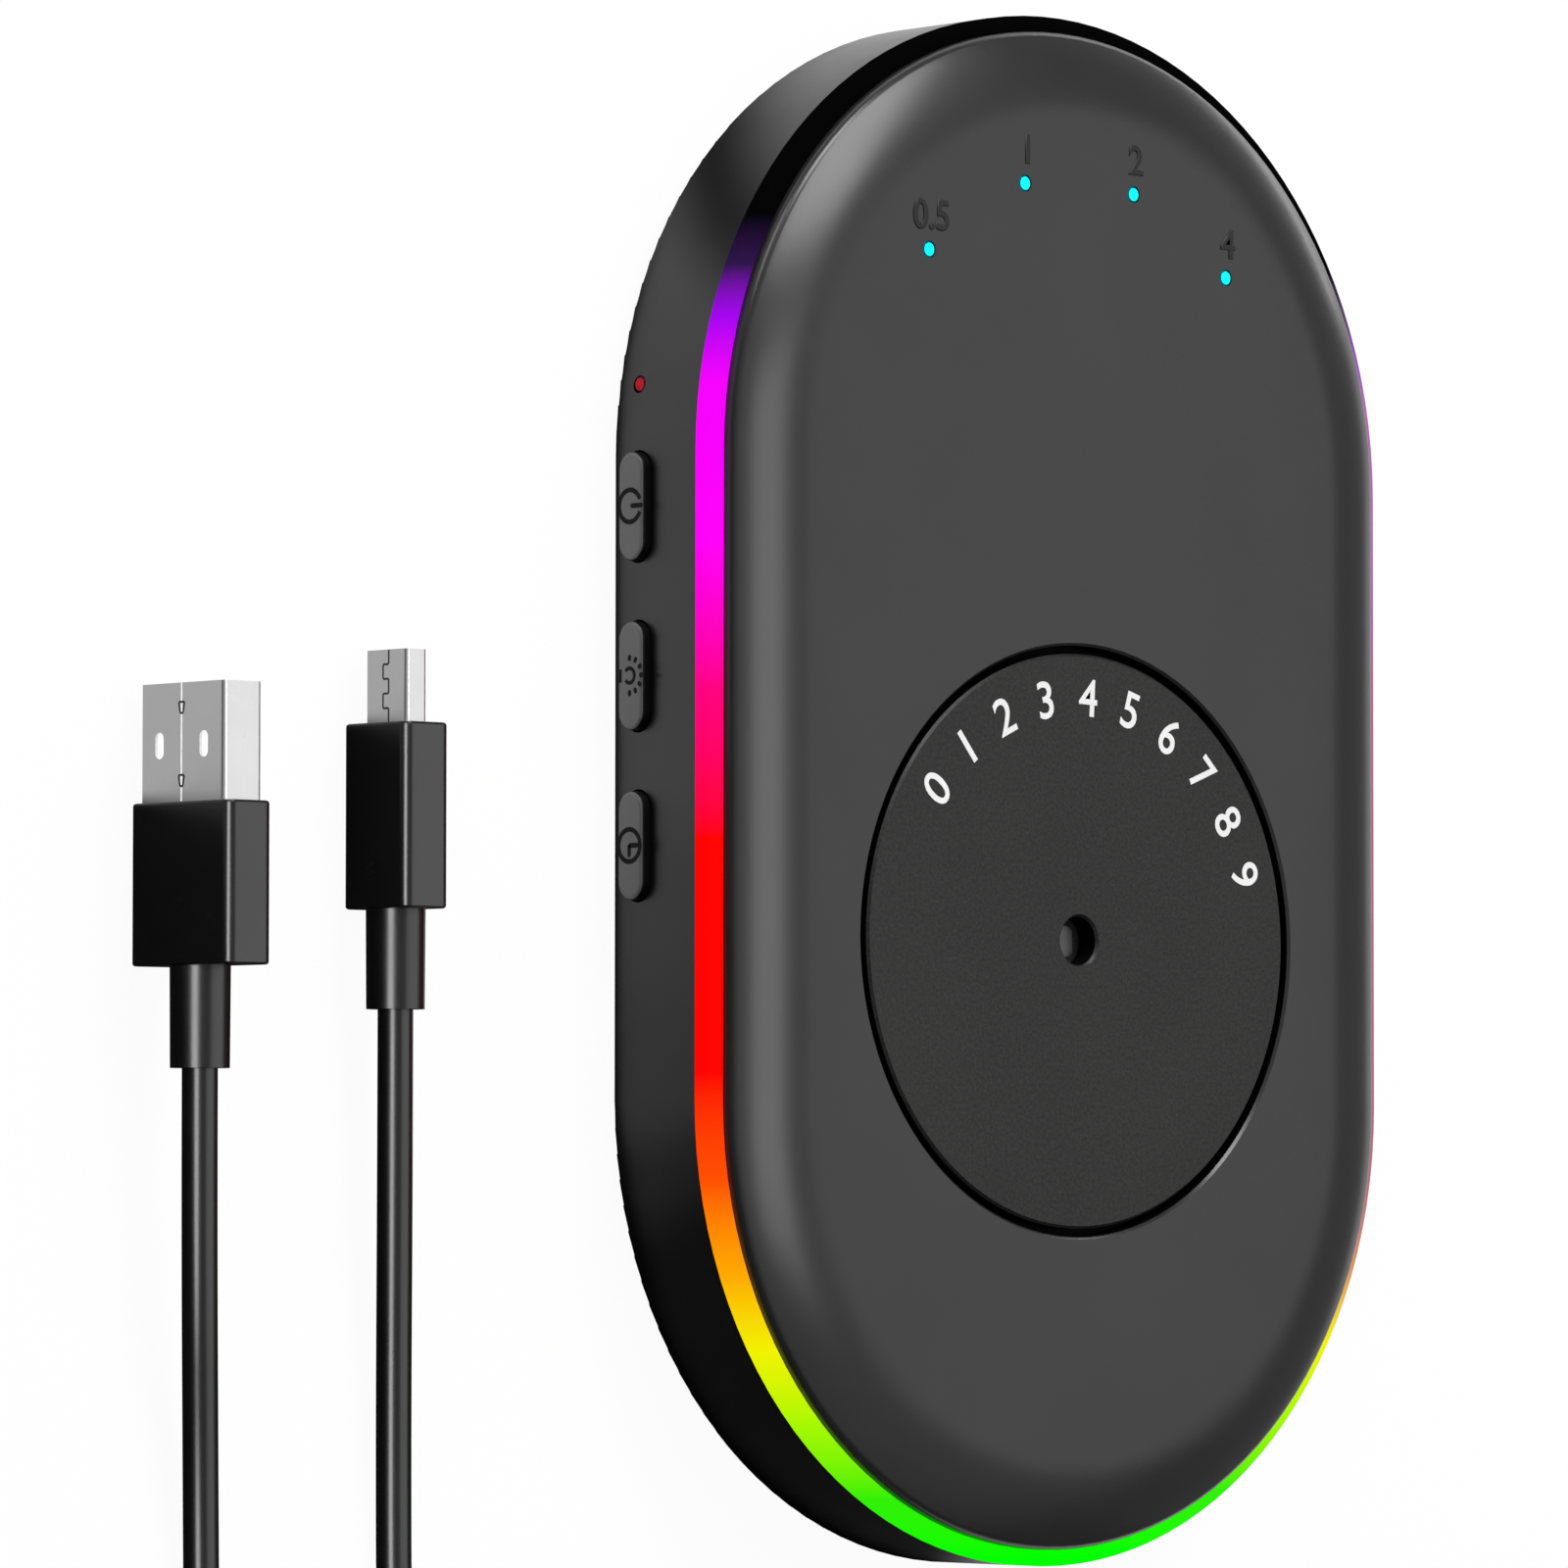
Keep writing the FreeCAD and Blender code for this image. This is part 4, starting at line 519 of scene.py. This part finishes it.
def case_pieces():
    refine("bottom_shell", "case", "case")
    # The well's walls and the disc's flanks get painted shade
    refine("top_cover", "cover", "case", "gap", in_well)
    refine("turntable_disc", "disc", "turntable", "gap", disc_flank)
    refine("time_lights", "blue_lamp", "case", "blue_rim", lamp_rim)
    refine("status_light", "red_lamp", "case", "red_rim", status_rim)
    for name in key_places:
        refine(name + "_button", "key_face", name + "_key", "key_side_painted_shade", key_flank)


# Plain numbers, flat in white round the disc and in low relief beside the time lamps, the relief darkened
# with painted shade

print_thickness = 0.02 * mm
digit_share = 0.73
dial_numbers = "0123456789"
dial_first, dial_last = -53.0, 73.0
dial_radius = 23.3 * mm
dial_height = 3.7 * mm
dial_weight = 0.05 * mm
hours = ("0.5", "1", "2", "4")
hour_height = 2.9 * mm
hour_weight = 0.02 * mm
hour_relief = 0.1 * mm
hour_lift = 3.2 * mm
hour_shift = 0.3 * mm


def printed(words, height, weight, thickness, relief):
    """A number as a mesh, standing on z = 0 about the origin, with edges rounded where it is in relief."""
    clear_selection()
    bpy.ops.object.text_add()
    letters = bpy.context.object.data
    letters.body = words
    letters.size = height / digit_share
    letters.align_x = "CENTER"
    letters.align_y = "CENTER"
    letters.offset = weight
    letters.extrude = thickness / 2
    letters.bevel_depth = relief
    letters.bevel_resolution = 2
    letters.resolution_u = 6
    bpy.ops.object.convert(target="MESH")
    return bpy.context.object


def dial_marks():
    marks = []
    step = (dial_last - dial_first) / (len(dial_numbers) - 1)
    for i, number in enumerate(dial_numbers):
        angle = dial_first + i * step
        turn = math.radians(angle)
        mark = printed(number, dial_height, dial_weight, print_thickness, 0)
        marks.append(place(mark, dial_radius * math.sin(turn), dial_radius * math.cos(turn), angle))
    dial = merge(marks)
    dial.location = (0, disc_y, disc_top + print_thickness / 2)
    return settle(dial, "dial_numbers", "white_print", "turntable")


def hour_numbers():
    numbers = []
    for hour, angle in zip(hours, lamp_angles):
        turn = math.radians(angle)
        x = -lamp_circle * math.sin(turn) + hour_shift
        y = lamp_circle_y + lamp_circle * math.cos(turn) + hour_lift
        numbers.append(place(printed(hour, hour_height, hour_weight, 0, hour_relief), x, y, 0))
    marks = merge(numbers)
    marks.location = (0, 0, cover_top)
    return settle(marks, "hour_numbers", "relief", "case")


# The signs on the keys: power, lamp and clock

sign_line = 0.46 * mm
sign_radius = 1.75 * mm
power_gap = (68, 112)
power_bar_share = 0.55
bulb_gap = (235, 305)
bulb_share = 0.5
bulb_line_share = 0.8
bulb_foot_share = 0.75
bulb_foot_drop_share = 1.5
ray_angles = (-90, -60, -30, 0, 30, 60, 90)
ray_length_share, ray_reach_share = 0.34, 0.95
clock_gap = (-2, -1)
long_hand_share, short_hand_share = 0.8, 0.7
long_hand_shift_share, short_hand_shift_share = 0.35, 0.28


def power_sign():
    ring = flat_ring(sign_radius, sign_radius - sign_line, print_thickness, *power_gap)
    bar = place(rounded_bar(sign_line, sign_radius, print_thickness), 0, sign_radius * power_bar_share, 0)
    return [ring, bar]


def lamp_sign():
    bulb_radius = sign_radius * bulb_share
    line = sign_line * bulb_line_share
    parts = [flat_ring(bulb_radius, bulb_radius - line, print_thickness, *bulb_gap)]
    foot = rounded_bar(line, sign_radius * bulb_foot_share, print_thickness)
    parts.append(place(foot, 0, -bulb_radius * bulb_foot_drop_share, 90))
    reach = sign_radius * ray_reach_share
    for angle in ray_angles:
        turn = math.radians(angle)
        ray = rounded_bar(sign_line, sign_radius * ray_length_share, print_thickness)
        parts.append(place(ray, reach * math.sin(turn), reach * math.cos(turn), angle))
    return parts


def clock_sign():
    ring = flat_ring(sign_radius, sign_radius - sign_line, print_thickness, *clock_gap)
    upright = rounded_bar(sign_line, sign_radius * long_hand_share, print_thickness)
    place(upright, 0, sign_radius * long_hand_shift_share, 0)
    across = rounded_bar(sign_line, sign_radius * short_hand_share, print_thickness)
    place(across, sign_radius * short_hand_shift_share, 0, 90)
    return [ring, upright, across]


def key_signs():
    """Each sign is drawn flat and then stood up on its key, its top towards the cover."""
    stand_up = Matrix(((0, 0, -1), (-1, 0, 0), (0, 1, 0))).to_4x4()
    for name, draw in (("power", power_sign), ("light", lamp_sign), ("timer", clock_sign)):
        sign = merge(draw())
        centre = Vector((key_face_x, key_places[name], key_z))
        sign.matrix_world = Matrix.Translation(centre) @ stand_up
        settle(sign, name + "_sign", "dark_print", name + "_key")


# The charging cable

seam_width = 0.2 * mm
seam_thickness = 0.01 * mm
tab_place_shares = (0.21, 0.825)
tab_length, tab_width = 1.0 * mm, 0.62 * mm
tab_lean = 12
tab_narrow_share, tab_wide_share = 0.7, 1.3
crooked_columns = (-0.35 * mm, 0.45 * mm)
crooked_steps = 5


def on_face(piece, x, y, z):
    """Lays a piece drawn flat on the left side of a plug, its length along Y."""
    laid = Matrix(((0, 0, -1), (0, 1, 0), (1, 0, 0))).to_4x4()
    piece.matrix_world = Matrix.Translation((x, y, z)) @ laid


def joint_tab():
    """The outline of a swallow-tail tab, wider at its far end."""
    half = tab_length / 2
    bars = []
    for side in (-1, 1):
        bar = rounded_bar(seam_width, tab_length, seam_thickness)
        bars.append(place(bar, side * tab_width / 2, 0, side * tab_lean))
    for end, share in ((-half, tab_narrow_share), (half, tab_wide_share)):
        bars.append(place(rounded_bar(seam_width, tab_width * share, seam_thickness), 0, end, 90))
    return bars


def usb_a_seam():
    """The straight joint in the USB-A shell, made bright by a painted glow, with its two tabs."""
    length = shell_a_tip_y - shell_a_front_y
    straight = rounded_bar(seam_width, length, seam_thickness)
    on_face(straight, shell_a_face_x, shell_a_front_y + length / 2, plug_a_z)
    settle(straight, "usb_a_seam", "seam_painted_glow", "case")
    tabs = []
    for share in tab_place_shares:
        for bar in joint_tab():
            tabs.append(place(bar, 0, (1 / 2 - share) * length, 0))
    tabs = merge(tabs)
    on_face(tabs, shell_a_face_x - seam_thickness / 2, shell_a_front_y + length / 2, plug_a_z)
    settle(tabs, "usb_a_seam_tabs", "seam", "case")


def small_seam():
    """The small shell's joint, which steps from side to side."""
    crooked = []
    length = shell_b_tip_y - shell_b_front_y
    step = length / crooked_steps
    across = (crooked_columns[0] + crooked_columns[1]) / 2
    width = crooked_columns[1] - crooked_columns[0]
    for i in range(crooked_steps):
        y = (i + 1 / 2) * step - length / 2
        column = crooked_columns[(i + 1) % 2]
        crooked.append(place(rounded_bar(seam_width, step, seam_thickness), column, y, 0))
        if i:
            crooked.append(place(rounded_bar(seam_width, width, seam_thickness), across, y - step / 2, 90))
    crooked = merge(crooked)
    on_face(crooked, shell_b_face_x, shell_b_front_y + length / 2, plug_b_z)
    settle(crooked, "small_seam", "seam", "case")


def plug_pieces():
    """The two plugs; returns their black pieces."""
    refine("usb_a_shell", "shell", "case")
    refine("small_shell", "shell", "case")
    black = []
    for plug in ("usb_a", "small"):
        black.append(refine(plug + "_overmould", "plug", "case"))
        black.append(refine(plug + "_relief", "cord", "case"))
    return black


def cord_points():
    """The route from the small plug down to the table, round the put-away coil and up to the other plug."""
    half = coil_turns / 2
    outside = coil_min_radius + coil_pitch * half
    per_turn = 16
    points = [
        (-74.4 * mm, -22.3 * mm, 4.7 * mm),
        (-74.4 * mm, -37.0 * mm, 4.7 * mm),
        (-72.1 * mm, -63.0 * mm, 1.8 * mm),
        (-71.9 * mm, -84.0 * mm, 1.8 * mm),
        (coil_x + outside, -104.0 * mm, coil_low_z),
    ]
    swell = 1 / math.cos(math.pi / per_turn)
    for i in range(int(coil_turns * per_turn) + 1):
        turns = i / per_turn
        radius = (coil_min_radius + coil_pitch * abs(turns - half)) * swell
        angle = -2 * math.pi * turns
        share = min(max((turns - half) * 2 + 0.5, 0), 1)
        climb = share * share * (3 - 2 * share)
        height = coil_low_z + (coil_high_z - coil_low_z) * climb
        points.append((coil_x + radius * math.cos(angle), coil_y + radius * math.sin(angle), height))
    points += [
        (coil_x - outside, -103.0 * mm, coil_high_z),
        (-94.6 * mm, -84.0 * mm, 2.0 * mm),
        (-94.8 * mm, -68.0 * mm, 2.0 * mm),
        (-99.3 * mm, -42.0 * mm, 7.3 * mm),
        (-99.3 * mm, -28.0 * mm, 7.3 * mm),
    ]
    return points


def charging_cord():
    points = cord_points()
    curve = bpy.data.curves.new("charging_cord", "CURVE")
    curve.dimensions = "3D"
    spline = curve.splines.new("NURBS")
    spline.points.add(len(points) - 1)
    for point, place_of in zip(spline.points, points):
        point.co = (*place_of, 1)
    spline.order_u = 3
    spline.use_endpoint_u = True
    spline.resolution_u = 8
    curve.bevel_depth = cord_diameter / 2
    curve.bevel_resolution = 6
    curve.use_fill_caps = True
    cord = bpy.data.objects.new("charging_cord", curve)
    bpy.context.scene.collection.objects.link(cord)
    dress(cord, "cord")
    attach(cord, "case")
    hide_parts("cord_a", "cord_coil", "cord_b")
    return cord


# The camera, at the photograph's viewing angle

camera_lens, camera_sensor = 207.85, 36
camera_place = (-0.60504, -0.04014, 0.64659)
camera_right = (0.74269, 0.00105, 0.66963)
camera_up = (-0.03181, 0.99893, 0.03371)
camera_back = (-0.66888, -0.04633, 0.74193)


def camera():
    data = bpy.data.cameras.new("photo_camera")
    data.lens = camera_lens
    data.sensor_width = camera_sensor
    data.clip_start = 0.05
    data.clip_end = 20
    eye = bpy.data.objects.new("photo_camera", data)
    bpy.context.scene.collection.objects.link(eye)
    turned = Matrix((camera_right, camera_up, camera_back)).transposed().to_4x4()
    eye.matrix_world = Matrix.Translation(camera_place) @ turned
    bpy.context.scene.camera = eye


# The table and the sky

def sum_up(tree, operation, first, second):
    """A Math node on two values, each a number or another node's output."""
    node = tree.nodes.new("ShaderNodeMath")
    node.operation = operation
    for socket, value in zip(node.inputs, (first, second)):
        if isinstance(value, (int, float)):
            socket.default_value = value
        else:
            tree.links.new(value, socket)
    return node.outputs[0]


def shown_level(tree, gloss_level, lit_level):
    """One where the camera or glass looks, the gloss level in reflections and the lit level for light."""
    path = tree.nodes.new("ShaderNodeLightPath")
    plain = sum_up(tree, "MAXIMUM", path.outputs["Is Camera Ray"], path.outputs["Is Transmission Ray"])
    gloss = sum_up(tree, "MULTIPLY", path.outputs["Is Glossy Ray"], gloss_level)
    unseen = sum_up(tree, "SUBTRACT", 1.0, sum_up(tree, "MAXIMUM", plain, path.outputs["Is Glossy Ray"]))
    lit = sum_up(tree, "MULTIPLY", unseen, lit_level)
    return sum_up(tree, "MAXIMUM", plain, sum_up(tree, "ADD", gloss, lit))


def steps(tree, value, stops):
    """A value carried smoothly through pairs of a place and a level."""
    low, high = stops[0][0], stops[-1][0]
    share = tree.nodes.new("ShaderNodeMapRange")
    share.inputs["From Min"].default_value = low
    share.inputs["From Max"].default_value = high
    tree.links.new(value, share.inputs["Value"])
    ramp = tree.nodes.new("ShaderNodeValToRGB")
    ramp.color_ramp.interpolation = "EASE"
    marks = ramp.color_ramp.elements
    for position, _ in stops[1:-1]:
        marks.new((position - low) / (high - low))
    for mark, (_, level) in zip(marks, stops):
        mark.color = (level, level, level, 1)
    tree.links.new(share.outputs["Result"], ramp.inputs["Fac"])
    return ramp.outputs["Color"]


# How bright the table is painted in the gloss, a painted reflection with painted shade near the case, at
# places in metres:
# along the case, outside its outline, to its right, and beside the plugs, from where their metal begins
table_levels = ((-0.075, 0.03), (-0.048, 0.05), (-0.038, 0.22), (-0.03, 0.55), (-0.012, 0.75),
                (0.002, 0.96), (0.05, 0.95), (0.062, 0.08), (0.076, 1.0), (0.12, 1.0))
outline_levels = ((0.0011, 0.0), (0.0018, 1.0))
far_end_levels = ((0.04, 0.0), (0.06, 1.0))
right_levels = ((-0.005, 0.0), (0.015, 1.0))
cable_levels = ((-0.064, 1.0), (-0.06, 0.0))
plug_levels = ((-0.001, 0.02), (0.001, 0.48))
plug_side_levels = ((-0.095, 0.0), (-0.091, 1.0))
plug_a_bright_y = -0.0036
plug_b_bright_y = 0.0044
table_seen_share = 0.95
table_size = 6
table_drop = 0.05 * mm
# How bright the sky is in the gloss, from the horizon up to the zenith, and as a light
sky_levels = ((0.0, 0.08), (0.5, 0.08), (0.75, 0.44), (1.0, 0.48))
sky_light = 0.24


def mix_levels(tree, share, first, second):
    """From the first level to the second as the share goes from none to one."""
    kept = sum_up(tree, "MULTIPLY", first, sum_up(tree, "SUBTRACT", 1.0, share))
    return sum_up(tree, "ADD", kept, sum_up(tree, "MULTIPLY", second, share))


def painted_table_reflection(tree):
    """The table's painted brightness in reflections: painted shade under the case, at its near end and beside
    the cable.
    """
    coordinates = tree.nodes.new("ShaderNodeTexCoord")
    parts = tree.nodes.new("ShaderNodeSeparateXYZ")
    tree.links.new(coordinates.outputs["Object"], parts.inputs[0])
    x, y = parts.outputs["X"], parts.outputs["Y"]
    along = mix_levels(tree, steps(tree, x, right_levels), steps(tree, y, table_levels), 1.0)
    past_straight = sum_up(tree, "SUBTRACT", sum_up(tree, "ABSOLUTE", y, 0), case_straight_half)
    past_straight = sum_up(tree, "MAXIMUM", past_straight, 0)
    across_squared = sum_up(tree, "POWER", sum_up(tree, "ABSOLUTE", x, 0), 2)
    along_squared = sum_up(tree, "POWER", past_straight, 2)
    radius = sum_up(tree, "SQRT", sum_up(tree, "ADD", across_squared, along_squared), 0)
    outside = steps(tree, sum_up(tree, "SUBTRACT", radius, case_radius), outline_levels)
    outside = sum_up(tree, "MAXIMUM", outside, steps(tree, y, far_end_levels))
    by_case = sum_up(tree, "MULTIPLY", along, outside)
    bright_y = mix_levels(tree, steps(tree, x, plug_side_levels), plug_a_bright_y, plug_b_bright_y)
    by_plug = steps(tree, sum_up(tree, "SUBTRACT", y, bright_y), plug_levels)
    return mix_levels(tree, steps(tree, x, cable_levels), by_case, by_plug)


def floor():
    """A plain pale table that shows white and keeps a faint shadow; in reflections it shows a painted
    brightness that changes by place.
    """
    clear_selection()
    bpy.ops.mesh.primitive_plane_add(size=table_size, location=(0, 0, -table_drop))
    table = bpy.context.object
    table.name = "table"
    material = bpy.data.materials.new("table_white")
    material.use_nodes = True
    tree = material.node_tree
    tree.nodes.clear()
    output = tree.nodes.new("ShaderNodeOutputMaterial")
    mix = tree.nodes.new("ShaderNodeMixShader")
    plain = tree.nodes.new("ShaderNodeBsdfDiffuse")
    plain.inputs["Color"].default_value = (1, 1, 1, 1)
    white = tree.nodes.new("ShaderNodeEmission")
    tree.links.new(shown_level(tree, painted_table_reflection(tree), 0.0), white.inputs["Strength"])
    path = tree.nodes.new("ShaderNodeLightPath")
    seen = sum_up(tree, "MAXIMUM", path.outputs["Is Camera Ray"], path.outputs["Is Transmission Ray"])
    seen = sum_up(tree, "MULTIPLY", seen, table_seen_share)
    tree.links.new(sum_up(tree, "MAXIMUM", seen, path.outputs["Is Glossy Ray"]), mix.inputs["Fac"])
    tree.links.new(plain.outputs[0], mix.inputs[1])
    tree.links.new(white.outputs[0], mix.inputs[2])
    tree.links.new(mix.outputs[0], output.inputs["Surface"])
    table.data.materials.append(material)


def world():
    """White where it is seen, grey where it lights, and in the gloss darker towards the horizon."""
    sky = bpy.data.worlds.new("studio")
    bpy.context.scene.world = sky
    sky.use_nodes = True
    tree = sky.node_tree
    tree.nodes.clear()
    output = tree.nodes.new("ShaderNodeOutputWorld")
    light = tree.nodes.new("ShaderNodeBackground")
    coordinates = tree.nodes.new("ShaderNodeTexCoord")
    parts = tree.nodes.new("ShaderNodeSeparateXYZ")
    tree.links.new(coordinates.outputs["Generated"], parts.inputs[0])
    height = steps(tree, parts.outputs["Z"], sky_levels)
    light.inputs["Color"].default_value = (1, 1, 1, 1)
    tree.links.new(shown_level(tree, height, sky_light), light.inputs["Strength"])
    tree.links.new(light.outputs[0], output.inputs["Surface"])


# The lamps: a name, a place in metres, a width, a height and a power in watts

case_lamps = (
    ("overhead", (0.05, 0.0, 0.9), 0.5, 0.28, 1.4),
    ("overhead_far", (0.16, 0.69, 0.8), 0.44, 0.56, 5.6),
    ("rim", (0.98, 0.74, 0.045), 1.0, 0.09, 1.6),
    ("low_right", (0.9, 0.1, 0.35), 1.6, 0.5, 0.3),
    ("far_right", (0.71, 0.04, 0.79), 0.7, 0.62, 0.88),
)
shared_lamps = (
    ("far_left", (-0.7, 0.9, 0.3), 0.4, 0.4, 2.0),
    ("far", (-0.17, 0.9, 0.45), 0.35, 0.35, 4.0),
)
cable_lamps = (
    ("cable_left", (-0.94, -0.05, 0.53), 1.0, 0.4, 14.0),
    ("cable_right", (0.45, -0.05, 0.85), 1.1, 1.1, 5.8),
)
case_middle = (0, 0, 0)
plugs_middle = (-0.09, -0.05, 0.005)


def soft_lamps(rows, aim):
    """One rectangular lamp for each row, turned towards the aim."""
    lamps = []
    for name, place_of, width, height, power in rows:
        data = bpy.data.lights.new(name, "AREA")
        data.shape = "RECTANGLE"
        data.size = width
        data.size_y = height
        data.energy = power
        lamp = bpy.data.objects.new(name, data)
        bpy.context.scene.collection.objects.link(lamp)
        lamp.location = place_of
        lamp.rotation_euler = (Vector(aim) - Vector(place_of)).to_track_quat("-Z", "Y").to_euler()
        lamps.append(lamp)
    return lamps


def light_only(lamps, pieces, state):
    """Gives the lamps a list of pieces that they light, or that they leave out."""
    lit = bpy.data.collections.new(state.lower() + "_pieces")
    for piece in pieces:
        lit.objects.link(piece)
    for member in lit.collection_objects:
        member.light_linking.link_state = state
    for lamp in lamps:
        lamp.light_linking.receiver_collection = lit


def lights(cable_pieces):
    over_case = soft_lamps(case_lamps, case_middle)
    soft_lamps(shared_lamps, case_middle)
    light_only(over_case, cable_pieces, "EXCLUDE")
    light_only(soft_lamps(cable_lamps, plugs_middle), cable_pieces, "INCLUDE")


# Building the scene

bpy.context.scene.view_settings.view_transform = "Standard"
camera()
cord = charging_cord()
dress_nodes()
case_pieces()
cable = [cord] + plug_pieces()
dial_marks()
hour_numbers()
key_signs()
usb_a_seam()
small_seam()
floor()
world()
lights(cable)
